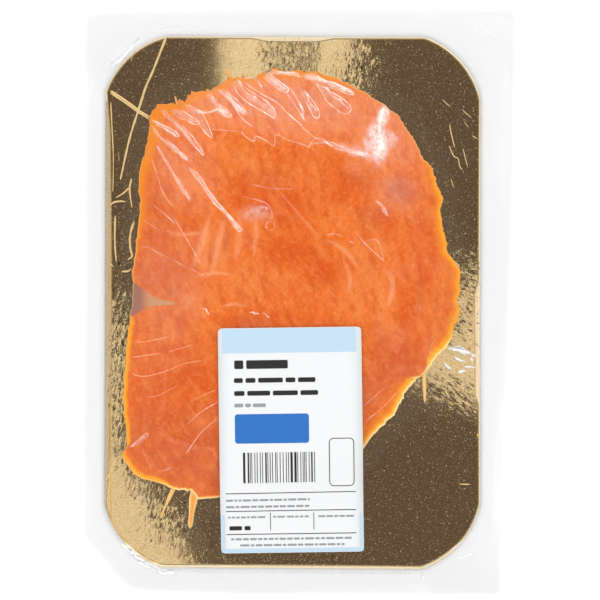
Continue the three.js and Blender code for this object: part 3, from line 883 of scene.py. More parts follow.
relief = node(tree, "ShaderNodeBump", {"Height": noise, "Distance": 0.05 * MM}).outputs["Normal"]
sockets = {
    "Base Color": colour,
    "Roughness": 0.42,
    "IOR": 1.38,
    "Specular IOR Level": 0.2,
    "Subsurface Weight": 0.25,
    "Subsurface Radius": (1.0, 0.35, 0.15),
    "Subsurface Scale": 1.5 * MM,
    "Normal": relief,
}
surface = node(tree, "ShaderNodeBsdfPrincipled", sockets).outputs[0]
node(tree, "ShaderNodeOutputMaterial", {"Surface": surface})
print(len(FLESH_LAYERS), "layers in the colour of the flesh")

# %% [markdown]
# ## The two slices
# Each slice is a rolled grid: rings go out over its underside, round the cut edge and back over
# the top, closest together at the edge, where the teeth and the glow are.

# %% The slices' bodies
SLICE_BEARINGS = bearings(1350)
UNDERSIDE_SHARES = (0, 0.5, 0.8)  # rings as shares of the way to the edge
UNDERSIDE_INSETS = (8, 6, 4, 2, 0.25)  # rings that many millimetres inside the edge
INSETS = [0.2, 0.45, 0.75, 1.1, 1.6, 2.2, 2.9, 3.7, 4.6, 5.6, 6.7, 7.9, 9.2]
THINNEST = 0.3  # a slice is nowhere thinner, in mm


def slice_rows(outline, upper, lower):
    """Rows of a slice from under its middle, out to its edge and back over the top."""
    edge = outline.reach(SLICE_BEARINGS)

    def underside(x, y):
        return np.minimum(lower(x, y), upper(x, y) - THINNEST)

    rows = [ring(SLICE_BEARINGS, edge * share, underside) for share in UNDERSIDE_SHARES]
    rows += [ring(SLICE_BEARINGS, edge - inset, underside) for inset in UNDERSIDE_INSETS]
    rows.append(ring(SLICE_BEARINGS, edge, lambda x, y: (lower(x, y) + upper(x, y)) / 2))
    rows += [ring(SLICE_BEARINGS, edge - inset, upper) for inset in INSETS]
    shares = np.linspace(1, 0, 46)[1:]
    rows += [ring(SLICE_BEARINGS, (edge - INSETS[-1]) * share, upper) for share in shares]
    return np.array(rows)


top_bm = rolled(slice_rows(TOP, top_top, top_bottom))
top_slice = finished("top_slice", top_bm, [flesh], ["salmon_slice_top"])
under_bm = rolled(slice_rows(UNDER, under_top, lambda x, y: np.full_like(x, FISH_Z)))
under_slice = finished("under_slice", under_bm, [flesh], ["salmon_slice_under"])

# %% [markdown]
# ## Where the flesh changes colour
# The back of the fish is deep orange in the middle of the slice, and paler at the far end, where
# the film stands off it a little: that paleness is painted, the film's reflection. A grey-brown
# patch of fat under the skin shows at the left edge, and a smoky one on the right, and a painted
# shadow lies along the label's far edge. At the cut edge the light that comes through is painted
# in: first amber, then a vivid yellow, and a cream outline where the gold behind is brightest.

# %% Zones of the flesh
# past this line the far end is painted paler, as the reflection of the film that stands off it
FAR_BORDER = [
    (-80, 70), (-46, 70), (-37.8, 72.2), (-31.1, 71.6), (-24.8, 71), (-19.2, 67), (-10.7, 65.1),
    (-5.1, 67.6), (3.8, 64.7), (9, 68.2), (13.9, 64.6), (19.9, 62.8), (31.3, 59.8), (60, 52),
]
# how much, the middle, the half sizes and the turn of each oval zone
DEEP_OVALS = [
    (0.8, (-12, 42), (18, 9), -20), (0.8, (-3, 20), (12, 6), 0), (0.7, (16, 44), (5, 5), 0),
    (0.9, (8, 14), (9, 7), -20), (0.6, (-12, -8), (26, 3.5), 0), (0.6, (46, -2), (6, 12), 0),
    (0.6, (-58, -22), (14, 5), 5), (0.5, (36, 32), (5, 10), 10), (0.6, (-60, -46), (12, 14), 0),
    (0.7, (38, -26), (16, 10), 30), (0.5, (20, 49), (8, 5), 0), (0.6, (-48, -60), (26, 14), -10),
    (0.5, (-42, -36), (20, 16), 20), (0.4, (-56, 10), (14, 10), 0), (0.4, (-60, 40), (6, 20), 8),
    (0.4, (50, 20), (8, 24), 0),
]
PALE_OVALS = [
    (0.4, (-38, 22), (12, 12), 0), (0.25, (-20, 8), (14, 8), 0), (0.3, (30, 18), (8, 20), 8),
    (0.25, (24, 4), (10, 10), 0), (0.15, (44, 60), (10, 12), 30), (0.25, (-48, 52), (8, 14), 20),
    (0.2, (-40, -50), (14, 5), 20), (0.2, (-50, -26), (10, 4), 12), (0.35, (-44, 4), (7, 14), 15),
]
# the oval at (-20, -9) is a painted shadow along the label's far edge
DULL_OVALS = [
    (0.75, (42, 46), (8, 6), -35), (0.35, (26, 52), (10, 6), -25), (0.5, (-46, -66), (14, 8), 15),
    (0.4, (31, 36), (9, 5), 0), (0.4, (-36, -52), (6, 12), -30), (0.5, (30, -36), (8, 14), -40),
    (0.3, (-12, 52), (10, 5), 0), (0.8, (-63.4, 12), (0.9, 9), 0), (0.7, (-59, 10), (0.8, 6), -6),
    (0.8, (-66.4, 13), (0.8, 6.5), 0), (0.8, (-54, 3.5), (2.2, 3), 0),
    (0.6, (-50.4, -9.5), (1.6, 8), 0), (0.5, (-55.5, 14), (0.9, 7), -10),
    (0.6, (-37, 20), (1.2, 8), -8), (0.6, (-31, 24), (1.4, 7), -8),
    (0.5, (-22.5, 27), (1.4, 6), 0), (0.5, (-43, 24), (1.2, 8), -12), (0.5, (50, 4), (1.4, 12), 4),
    (0.5, (57, 0), (1.2, 9), -8), (0.45, (-66, 16), (4, 12), -8), (0.5, (-20, -9), (10, 3.5), 0),
    (0.6, (-46, -62), (28, 20), -10), (0.45, (40, -24), (12, 16), 30),
    (0.3, (-57, 14), (14, 44), 3), (0.25, (-56, -26), (18, 20), 0),
]
FAT_PATCH = Outline([
    (-69, 7.6), (-65.6, 5.3), (-62.6, 3.1), (-58.3, 0.7), (-51.9, -0.3), (-53.1, -1.6), (-58.3, -1.5),
    (-63.4, -2.5), (-66.9, -4.2), (-69.8, -6.2), (-73, -6.4), (-73, 9.4),
], centre=(-66, 0.8))


def mark_edge(piece, outline):
    """Marks the painted light at the cut edge: the amber rim, the vivid line and the cream outline."""
    x, y = vertex_xy(piece)
    inside = np.maximum(outline.inside(x, y), 0)
    far_end = smooth(45, 72, y) * smooth(28, -5, x)
    flank = smooth(-10, -19, y) * smooth(0, 15, x)
    near = smooth(-60, -72, y)
    left_low = smooth(-50, -62, x) * smooth(-4.5, -9, y)
    left = np.maximum(0.5 * left_low, smooth(-50, -62, x) * smooth(8, 60, y))
    right = smooth(35, 50, x) * smooth(66, 45, y)
    covered = smooth(-1, 1, UNDER_CUT.inside(x, y)) * smooth(-6, -10, y)
    bare = 1 - covered if outline is TOP else 1
    lean_flesh = 1 - smooth(-0.5, 0.9, FAT_PATCH.inside(x, y))
    # painted light through the thin edge: amber rim, vivid line and cream outline
    width = 0.4 + 1.8 * far_end + 1.8 * left + np.maximum(1.5 * right, 1.9 * flank)
    mark(piece, "amber", bare * lean_flesh * smooth(2.6 * width, 0.5 * width, inside))
    low = np.maximum(0.8 * left_low, 0.7 * right)
    width = 0.6 + 1.0 * flank + 0.9 * low + 0.2 * near
    lit = np.max([flank, low, 0.9 * near], axis=0)
    mark(piece, "vivid", bare * lit * lean_flesh * smooth(2 * width, 0.6 * width, inside))
    brightest = 0.4 - 0.25 * far_end + 0.55 * np.maximum(flank, near)
    brightest = brightest * (1 - 0.75 * np.maximum(left_low, right * (1 - flank)))
    width = 0.25 + 0.35 * flank + 0.25 * near
    mark(piece, "glow", bare * brightest * smooth(2.4 * width, 0.5 * width, inside))


def mark_zones(piece):
    """Marks pale, deep and dull flesh, with painted reflection and shade, and the grey and tan fat."""
    x, y = vertex_xy(piece)
    fatty = smooth(-0.5, 0.9, FAT_PATCH.inside(x, y))
    mauve = smooth(-62, -67.5, x)
    past = smooth(-1.5, 2.5, y - np.interp(x, *np.array(FAR_BORDER).T))
    beyond = past * (1 - 0.6 * smooth(8, 30, x))
    mark(piece, "pale", np.maximum(0.45 * beyond, zone(x, y, PALE_OVALS)))
    mark(piece, "grey", 0.95 * fatty * mauve)
    mark(piece, "tan", 0.85 * fatty * (1 - mauve))
    mark(piece, "dull", zone(x, y, DULL_OVALS))
    mark(piece, "deep", (1 - beyond) * zone(x, y, DEEP_OVALS))


for piece, outline in ((top_slice, TOP), (under_slice, UNDER)):
    mark_edge(piece, outline)
    mark_zones(piece)
    print(piece.name, "has", len(piece.data.attributes), "attributes")

# %% The strands' bodies
STRAND_LIFT = 0.05  # between the card and the foot of a strand


def above_card(x, y):
    return np.full_like(x, CARD_TOP + STRAND_LIFT)


for name, strands, solid in (
    ("top_strands", TOP_STRANDS, "salmon_slice_top"),
    ("under_strand", UNDER_STRANDS, "salmon_slice_under"),
):
    ridges = []
    painted_glow = []
    for points, half_width, height, pale in strands:
        rise = FISH_Z + height - CARD_TOP - STRAND_LIFT
        places = ridge_places(points, half_width, rise, above_card, narrow=0.4, end=1.2)
        ridges.append(places)
        painted_glow += [pale] * places[..., 0].size
    strand, middle = ridge_piece(name, ridges, flesh, solid)
    # the whole strand takes the painted amber, and its sides and pale ones the painted glow of light
    # through thin flesh
    mark(strand, "amber", np.ones(len(middle)))
    mark(strand, "glow", np.maximum(painted_glow, 0.9 * (1 - np.array(middle))))

# %% [markdown]
# ## Fat between the flakes
# Fine pale lines of fat run between the flakes, and soft pale strokes lie where the fat shows
# through. A vertex every few millimetres is too coarse for them, so each is a hair-thin ridge
# that fades out at its sides: its alpha is the ridge's own strength.

# %% Fat lines
FAT_LIFT = 0.03
FAT_HEIGHT = 0.02
# half width in mm, strength, then the path
FAT_LINES = [
    (0.7, 0.22, [(-12.6, 50.6), (-5, 41.8), (3.8, 31.7), (9.2, 26.2)]),
    (0.22, 0.7, [(-69.3, -16.6), (-66.4, -17), (-59.6, -15.8), (-54.6, -14.7)]),
    (0.22, 0.9, [(-71, -22.5), (-69.7, -23.3), (-64.3, -22.5), (-58, -21.6)]),
    (0.22, 0.6, [(-55.4, -21.2), (-48.3, -19.1), (-44.1, -17.9)]),
    (0.22, 0.7, [(-71, -30), (-67.2, -31.3), (-62.2, -30.9), (-55.4, -28.8), (-48.3, -26),
      (-40.7, -24.6)]),
    (0.22, 0.5, [(-65.1, -40.1), (-60.5, -39.7), (-55.9, -37.6), (-50.4, -34.7)]),
    (0.22, 0.5, [(-46.2, -42.2), (-39.9, -38.9), (-34.4, -36.8)]),
    (2.0, 0.28, [(-37, 38), (-39.5, 30), (-42, 22), (-46, 12)]),
    (2.2, 0.3, [(-31, 36), (-33.5, 27), (-36, 16), (-38, 8)]),
    (2.0, 0.25, [(-25, 36), (-25.5, 27), (-27, 16)]),
    (1.8, 0.25, [(-19, 36), (-18.5, 27), (-20, 16)]),
    (1.3, 0.35, [(-33, -2.6), (-28, -1), (-22, -2.2)]),
    (1.8, 0.3, [(34.4, 15.3), (38.6, 9), (38, 2), (36.5, -3.6)]),
    (1.5, 0.25, [(18, 18), (21, 10), (20, 2)]),
    (1.2, 0.3, [(-45, 10), (-36, 12), (-28, 11)]),
    (1.2, 0.25, [(-58, 30), (-50, 28), (-40, 29)]),
    (1.4, 0.25, [(10, 26), (18, 22), (26, 12)]),
]
fat, tree = new_material("Salmon fat")
sockets = {
    "Base Color": linear("F2B28A"),
    "Roughness": 0.45,
    "IOR": 1.4,
    "Specular IOR Level": 0.2,
    "Alpha": node(tree, "ShaderNodeAttribute", attribute_name="fade").outputs["Fac"],
}
surface = node(tree, "ShaderNodeBsdfPrincipled", sockets).outputs[0]
node(tree, "ShaderNodeOutputMaterial", {"Surface": surface})


def just_above_flesh(x, y):
    return top_top(x, y) + FAT_LIFT


def fat_line(half_width, strength, points):
    """A hair-thin ridge that starts and ends slowly."""
    end = 6 * half_width + 1
    return ridge_places(points, half_width, FAT_HEIGHT, just_above_flesh, strength, end=end)


fat_ridges = [fat_line(*line) for line in FAT_LINES]
fat_lines, fade = ridge_piece(
    "fat_lines", fat_ridges, fat, "salmon_slice_top", casts=False
)
mark(fat_lines, "fade", fade)

# %% [markdown]
# ## The upper web
# Vacuum film is heated, and the air under it is taken out, so it lies like a wet sheet: on the
# high points it touches, and between them it spans in a taut curve. A few hundred rounds of
# averaging do that. Each round pulls every point to the mean of its neighbours and a little
# down, and then lifts it back on to whatever lies under it.

# %% Drape the web over what lies under it
CELL = 0.5
CLEAR = 0.14  # kept between the web's middle and what it lies on
FRAY = 0.9  # the teeth reach this far past the plain cut
PULL = 0.004  # how far a round draws the web down
ROUNDS = 500
grid_x = np.arange(-95, 95 + CELL, CELL)
grid_y = np.arange(-127, 127 + CELL, CELL)


def contents(x, y):
    """The highest thing under the web at each place."""
    fish = np.where(TOP_CUT.inside(x, y) > -FRAY, top_top(x, y), 0)
    under = np.where(UNDER_CUT.inside(x, y) > -FRAY, under_top(x, y), 0)
    card_height = np.where(CARD.inside(x, y) > 0, CARD_TOP, lower_web(x, y))
    return np.max([fish, under, card_height, strand_top(x, y)], axis=0)


def neighbours(grid):
    """The grid moved by one cell each way: left, right, down and up."""
    padded = np.pad(grid, 1, mode="edge")
    return padded[1:-1, :-2], padded[1:-1, 2:], padded[:-2, 1:-1], padded[2:, 1:-1]


floor_under = contents(*np.meshgrid(grid_x, grid_y))
floor_under = np.max([floor_under, *neighbours(floor_under)], axis=0) + CLEAR
web_grid = floor_under + 1.0
for _ in range(ROUNDS):
    web_grid = np.maximum(floor_under, sum(neighbours(web_grid)) / 4 - PULL)


def web_at(x, y):
    """Height of the draped web, read between the four nearest points of its grid."""
    column = np.clip((x - grid_x[0]) / CELL, 0, len(grid_x) - 1.001)
    row = np.clip((y - grid_y[0]) / CELL, 0, len(grid_y) - 1.001)
    i, j = row.astype(int), column.astype(int)
    v, u = row - i, column - j
    near = web_grid[i, j] * (1 - u) + web_grid[i, j + 1] * u
    far = web_grid[i + 1, j] * (1 - u) + web_grid[i + 1, j + 1] * u
    return near * (1 - v) + far * v


print("the web is", web_grid.max().round(2), "mm high at most")

# %% The two webs as meshes
WEB_BEARINGS = bearings(540)
fish_reach = np.maximum(TOP_CUT.reach(WEB_BEARINGS), UNDER_CUT.reach(WEB_BEARINGS))
card_reach = CARD.reach(WEB_BEARINGS)
flange_reach = FLANGE.reach(WEB_BEARINGS)
OFF_FISH = (-3, -2, -1.2, -0.5, 0, 0.5, 1, 1.5, 2.1, 2.8, 3.6)
WELL_STEPS = (0.4, 0.9, 1.5, 2.3, 3.3, 4.6)


def rings_between(start, end, count):
    """Evenly spaced rings after the start, up to and including the end."""
    return [start + (end - start) * i / count for i in range(1, count + 1)]


well_rings = [card_reach + out for out in WELL_STEPS]
flange_rings = rings_between(well_rings[-1], flange_reach, 6)
web_rings = [(fish_reach - 4) * share for share in np.linspace(0, 1, 42)]
web_rings += [fish_reach + out for out in OFF_FISH]
web_rings += rings_between(web_rings[-1], card_reach, 9) + well_rings + flange_rings
upper_bm = rolled(np.array([ring(WEB_BEARINGS, distance, web_at) for distance in web_rings]))
upper_web = finished("upper_web", upper_bm, [web_film], ["upper_film"], 0.1)
CLEAREST = 0.002  # the haze of clear film
# painted sheen on the web over the fish: the white blot on the right and the pale veil at the far end
PAINTED_SHEEN = [
    (0.72, (32.6, 66.6), (4.2, 8.5), 4), (0.6, (34.8, 77.5), (2.4, 5.5), -18),
    (0.3, (29.2, 65.5), (2.8, 7), 8), (0.25, (37.6, 68), (4, 4), 20),
    (0.3, (24, 62.6), (9, 1.5), -14), (0.05, (-8, 84), (48, 13), -8),
    (0.04, (36, 68), (16, 16), 0), (0.04, (40, 46), (10, 10), -20),
    (0.03, (-48, 56), (14, 20), 20), (0.12, (-18.5, 36.8), (7, 3.2), 6),
    (0.02, (-56, 4), (16, 26), 0),
]


def thickness(x, y, outside):
    """Painted shade on the web: darker at the card's edge, along the near end and at the sides."""
    side = smooth(74, 88, np.abs(x)) * smooth(120, 104, np.abs(y))
    near = smooth(-104, -120, y)
    near_card_edge = np.exp(-np.maximum(outside, 0) / 5)
    darker = 0.05 + 0.14 * side + 0.42 * near + 0.3 * near_card_edge
    return np.clip(darker * smooth(0, 0.8, outside), 0, 1)


x, y = vertex_xy(upper_web)
over_fish = smooth(-0.4, 1.2, TOP_CUT.inside(x, y))
mark(upper_web, "haze_and_sheen", CLEAREST + over_fish * zone(x, y, PAINTED_SHEEN))
# painted shade: the web is darker near the card, along the near end and at the sides
mark(upper_web, "painted_shade", thickness(x, y, -CARD.inside(x, y)))

lower_rings = [card_reach * share for share in (0, 0.5, 1)]
lower_rings += well_rings + flange_rings
lower_bm = rolled(np.array([ring(WEB_BEARINGS, distance, lower_web) for distance in lower_rings]))
lower_piece = finished("lower_web", lower_bm, [web_film], ["lower_film"], 0.1)
x, y = vertex_xy(lower_piece)
mark(lower_piece, "haze_and_sheen", np.full(len(x), CLEAREST))
# the same painted shade on the lower web
mark(lower_piece, "painted_shade", thickness(x, y, -CARD.inside(x, y)))

# %% [markdown]
# ## Folds in the upper web
# Where the film had too much length it pleated while it shrank. Each pleat is a flattened loop:
# two sharp creases that catch the light as white lines, and between them two layers of film with
# a faint sheen; the white lines and the sheen are painted highlight. The pleats all run from the
# far left to the near right. So one list holds the middles, and one the crease lines, as narrow
# steep ridges. Each highlight grows whiter towards its near right end.

# %% Folds
# half width in mm, strength of the painted highlight, then the path
FOLD_MIDDLES = [
    (1.5, 0.75, [(-38.9, 87.3), (-36, 84), (-33, 80.5), (-28.6, 76.8)]),
    (0.9, 0.7, [(-44.5, 80.6), (-41.1, 79.4), (-37.7, 79.4), (-33.8, 81)]),
    (1.0, 0.5, [(-34.4, 89.3), (-29.9, 85.7), (-26.5, 82.2), (-22.6, 78.3)]),
    (1.6, 0.18, [(-27.4, 93), (-23, 87.4), (-17.8, 83.6), (-13, 80.6), (-10, 76.8)]),
    (0.9, 0.45, [(-15, 95.5), (-11, 92.4), (-7.5, 89.6), (-5.2, 88.6)]),
    (0.9, 0.4, [(-14.4, 95.2), (-10, 96), (-4, 95.6), (0.8, 94.2)]),
    (1.7, 0.12, [(6.3, 91.6), (11.3, 87.6), (16.4, 83.4), (20.6, 80.6)]),
    (1.3, 0.16, [(1, 88.9), (3, 84.6), (6.3, 78.2)]),
    (1.2, 0.6, [(1.2, 94.2), (6.3, 93.8), (12, 91.6), (18.1, 89.2), (22.9, 87.2)]),
    (0.7, 0.4, [(-62.4, 76.2), (-58, 74), (-54.6, 71.8), (-51, 69.6)]),
    (1.0, 0.3, [(-53.4, 80.6), (-48.7, 77.8), (-43, 74.8)]),
    (0.9, 0.2, [(-58, 80.6), (-52.5, 75), (-46.2, 68.2), (-41, 62.4)]),
    (0.9, 0.15, [(-62, 73), (-58, 68.4), (-52.9, 64.2), (-47.8, 59.8)]),
    (1.2, 0.14, [(-48, 82), (-43.6, 78.6), (-40, 73), (-37, 69.4)]),
    (0.8, 0.4, [(-46.7, 56.4), (-41.1, 50.2), (-35.7, 41.8), (-31.1, 37.2), (-24.6, 29.8)]),
    (0.7, 0.25, [(-60.2, 65.9), (-54.1, 55.2), (-48.7, 46.6), (-45.9, 42.2)]),
    (0.9, 0.7, [(35.2, 81.4), (33.8, 77), (33, 73)]),
    (1.0, 0.5, [(33.2, 74), (33.4, 67.5), (33, 61.8)]),
    (0.8, 0.5, [(35, 81), (37.6, 78.6)]),
    (0.5, 0.5, [(37.8, 70.6), (40.3, 69)]),
    (0.6, 0.5, [(31, 60.8), (22, 63), (12, 66.3), (4, 66)]),
    (0.8, 0.2, [(-21, 38), (-16, 39.6), (-13, 38.4)]),
    (0.9, 0.3, [(31.5, 42.6), (34.5, 39.4), (36.6, 35.4)]),
    (0.9, 0.35, [(-71, -61.2), (-67, -58), (-64.4, -56)]),
]
FOLD_LINES = [
    (0.28, 0.7, [(-35.2, 89), (-32.1, 86.7), (-29.3, 83.9), (-26.5, 80.6), (-22.6, 78)]),
    (0.25, 0.7, [(-33.2, 89.5), (-29.9, 87.3), (-26.5, 84.5), (-23.6, 81.1), (-22.3, 78.9)]),
    (0.17, 0.7, [(-30.4, 89), (-27.6, 82.2), (-24.2, 76.6), (-19.7, 73.2)]),
    (0.26, 0.9, [(-28.2, 92.9), (-26.5, 87.9), (-22.6, 83.9), (-18.1, 81.1), (-13.5, 78.3),
      (-10.2, 76.3)]),
    (0.22, 0.9, [(-26.5, 93.5), (-22, 89), (-17.5, 86.2), (-13.5, 83.4), (-10.7, 80), (-9.9, 76.9)]),
    (0.26, 0.9, [(-23.9, 92.8), (-20.2, 89.7), (-15.1, 86.5), (-9.9, 83.4), (-5.2, 78.8), (1.3, 73.3)]),
    (0.26, 0.9, [(-15.8, 94.6), (-11.8, 91.2), (-9, 89), (-5.7, 87.6), (-4.8, 89), (-5.7, 90.1),
      (-10.2, 93.5), (-13.5, 96.3)]),
    (0.28, 0.9, [(-5.7, 87.6), (-2.9, 83.4), (0, 78.9), (2.1, 75.5)]),
    (0.22, 0.8, [(-4.5, 90.1), (-1.7, 85.6), (0.5, 81.7), (2.1, 78.9)]),
    (0.21, 0.8, [(-19.7, 94), (-16.9, 90.7), (-16.1, 90.1), (-18.1, 93.5)]),
    (0.25, 0.8, [(-24.2, 93.5), (-20.3, 94), (-18.6, 92.9)]),
    (0.28, 0.9, [(-14.1, 95.7), (-11.3, 96.9), (-7.3, 96.3), (-2.9, 96.3), (0, 95.2)]),
    (0.25, 0.8, [(-63, 76.6), (-59.7, 74.9), (-55.7, 73.2), (-52.3, 71.5), (-50.7, 69.3), (-52.3, 69.3),
      (-56.3, 72.1), (-60.8, 74.3)]),
    (0.22, 0.85, [(-58.5, 81.1), (-56.9, 78.3), (-53.5, 75.5), (-50.1, 72.7), (-46.7, 68.2),
      (-43.3, 64.2), (-40.5, 61.2), (-41.1, 63.7), (-43.3, 67), (-46.7, 71), (-50.1, 74.3)]),
    (0.25, 0.85, [(-54.1, 80.6), (-51.2, 77.2), (-47.9, 76.1), (-44.5, 74.3), (-42.2, 74.3),
      (-43.3, 76.1), (-46.7, 78.3), (-50.1, 80.6)]),
    (0.22, 0.8, [(-49, 82.8), (-45, 81.7), (-41.1, 78.9), (-38.9, 74.9), (-36.6, 68.7), (-39.4, 70.4),
      (-42.2, 73.8)]),
    (0.22, 0.8, [(-62.7, 74.3), (-60.2, 71.5), (-58, 68.2), (-54.1, 65.4), (-50.1, 62), (-47, 58.9),
      (-47.9, 60.9), (-52.3, 64.8), (-56.9, 68.7)]),
    (0.21, 0.5, [(-62.2, 59.7), (-60.2, 54.1), (-58, 47), (-55.6, 42.6), (-52.8, 39.8)]),
    (0.21, 0.6, [(-60.2, 65.9), (-57.4, 60.9), (-54.1, 55.2), (-51.8, 51), (-48.7, 46.6),
      (-45.9, 42.2)]),
    (0.20, 0.8, [(-46.9, 56.2), (-44.2, 52.6), (-41.5, 49.6), (-39, 45.4), (-36.1, 41.4), (-31.5, 36.8),
      (-27.3, 30.9), (-25.4, 29.4), (-24.1, 30.2), (-26.6, 32), (-30.8, 37.8), (-35.4, 42.6),
      (-38.2, 46.4), (-40.8, 50.8), (-43.5, 53.6)]),
    (0.26, 0.9, [(6.3, 92.3), (9, 88.1), (10.8, 84.5), (13.9, 81.5), (17.5, 79), (20.2, 79),
      (21.4, 80.8), (19.9, 83.3), (16.9, 85.7), (12.6, 88.1), (9, 91.1)]),
    (0.26, 0.9, [(0.6, 88.7), (1.8, 85.1), (3.6, 81.5), (5.4, 77.9), (7.2, 76.6), (8.3, 78.5),
      (6.6, 82.1), (4.2, 85.7), (2.4, 87.5)]),
    (0.28, 0.9, [(0, 94.1), (3, 95.3), (6.6, 95.3), (10.2, 92.9), (14.4, 91.7), (18.7, 89.9),
      (22.3, 88.1)]),
    (0.26, 0.9, [(7.2, 91.7), (12.1, 89.9), (16.3, 88.7), (20.5, 86.9), (23.2, 86.9)]),
    (0.35, 0.6, [(-0.4, 83), (1.1, 79), (1.8, 75.6)]),
    (0.24, 0.6, [(-37.8, 72.2), (-31.1, 71.6), (-24.8, 71), (-22.6, 68.7), (-19.2, 67), (-18.6, 69.3),
      (-14.7, 67.6), (-10.7, 65.1), (-10.2, 69.9), (-5.1, 67.6), (2.1, 65.4), (3.8, 64.7), (5.5, 67.6),
      (9, 68.2), (13.9, 64.6), (19.9, 62.8), (25.2, 61.3), (31.3, 59.8)]),
    (0.22, 0.5, [(0, 73.7), (3, 71.2), (6, 68.8), (10.8, 66.4), (13.9, 64.6)]),
    (0.18, 0.5, [(-62, 40.6), (-58, 37.8), (-52.3, 32.5)]),
    (0.21, 0.55, [(-53.1, 35.7), (-50, 30.4), (-46.2, 24.1), (-41.4, 15.2)]),
    (0.15, 0.45, [(-65.6, 34.1), (-62, 31.7), (-58, 29.3)]),
    (0.15, 0.41, [(-66.8, 22.5), (-63.6, 22.7), (-60.4, 20.9), (-51.5, 16.5), (-39.9, 10.7)]),
    (0.18, 0.6, [(-13.3, 29.9), (-11.2, 30), (-10.6, 32), (-12, 33.6), (-13.9, 32.8), (-14.3, 31),
      (-13.3, 29.9)]),
    (0.2, 0.25, [(-24, 44), (-14, 41), (-11.6, 35.2), (-13.2, 34.6)]),
    (0.18, 0.45, [(10.5, 27.5), (14.3, 28.3), (18.5, 26.7)]),
    (0.21, 0.45, [(23.1, 29.2), (27.7, 23.7), (32.8, 19.1), (35.3, 16.6)]),
    (0.21, 0.5, [(20.6, 25.4), (22.7, 24.2)]),
    (0.17, 0.45, [(28, 25.4), (31.9, 25.8), (34, 22), (34.8, 17.2)]),
    (0.18, 0.45, [(31, 43), (34.8, 40.2), (37, 35)]),
    (0.2, 0.2, [(-20, 49), (-12.4, 47.4), (-2, 47)]),
    (0.17, 0.41, [(-72.4, -61.9), (-65.3, -55.7), (-63.6, -56.1), (-66.2, -58.6), (-69.3, -60.7)]),
    (0.17, 0.21, [(-66.2, -61.3), (-62.2, -70.8)]),
    (0.25, 0.24, [(-60.7, -71.4), (-56.7, -70.8), (-53.3, -69.1)]),
    (0.21, 0.45, [(-47.5, -51.7), (-44.3, -48.5), (-39.9, -45.2), (-34.2, -41.9)]),
    (0.21, 0.41, [(-47.9, -64), (-41.6, -55.2), (-34.2, -48.5)]),
    (0.17, 0.41, [(26.5, -44), (31, -40), (36.5, -35.3)]),
    (0.17, 0.41, [(26.7, -50.8), (35.2, -44), (41.4, -37.3)]),
    (0.17, 0.17, [(52.1, -31), (53.3, -24.7), (55.9, -16)]),
    (0.21, 0.8, [(-16.3, -4.9), (-14.5, -5.3), (-12.6, -7.1)]),
    (0.25, 0.7, [(-2.9, -7.9), (-1.6, -7.6)]),
    (0.21, 0.6, [(6.8, -9), (8, -9)]),
    (0.34, 0.95, [(-21.4, -4.2), (-20.4, -4.7), (-19.6, -4.4), (-18.8, -5.1), (-17.8, -5),
      (-16.8, -5.4)]),
    (0.34, 0.9, [(-40.8, -2.3), (-39.4, -3.4), (-38.9, -4.2), (-37.9, -5.7)]),
    (0.28, 0.8, [(-39, -2.4), (-39, -3.8)]),
    (0.28, 0.6, [(34.2, -13.2), (34.8, -13.6)]),
    (0.35, 0.6, [(42.4, -14.8), (43.4, -15.4)]),
    (0.25, 0.6, [(47, 15.6), (47.6, 14.8)]),
]


def fold(half_width, strength, points):
    """A ridge of the web whose painted highlight grows whiter towards the near right."""
    height = min(0.5 * half_width, 0.3)
    places = ridge_places(points, half_width, height, web_at, strength, uneven=0.5)
    lean = places[..., 0] - places[..., 1]
    places[..., 3] *= 0.5 + 0.6 * (lean - lean.min()) / (lean.max() - lean.min())
    return places


fold_ridges = [fold(*line) for line in [*FOLD_MIDDLES, *FOLD_LINES]]
folds, painted_highlight = ridge_piece(
    "film_folds", fold_ridges, fold_film, "upper_film", casts=False
)
mark(folds, "painted_highlight", painted_highlight)

# %% [markdown]
# ## Crinkles beside the card
# Round the card the film runs down its edge to the flange, and it crinkles most at the corners.
# These are the same kind of ridge, on the same draped surface, with a painted white highlight.
# The few that lie over the foil on the right paint its white glints.

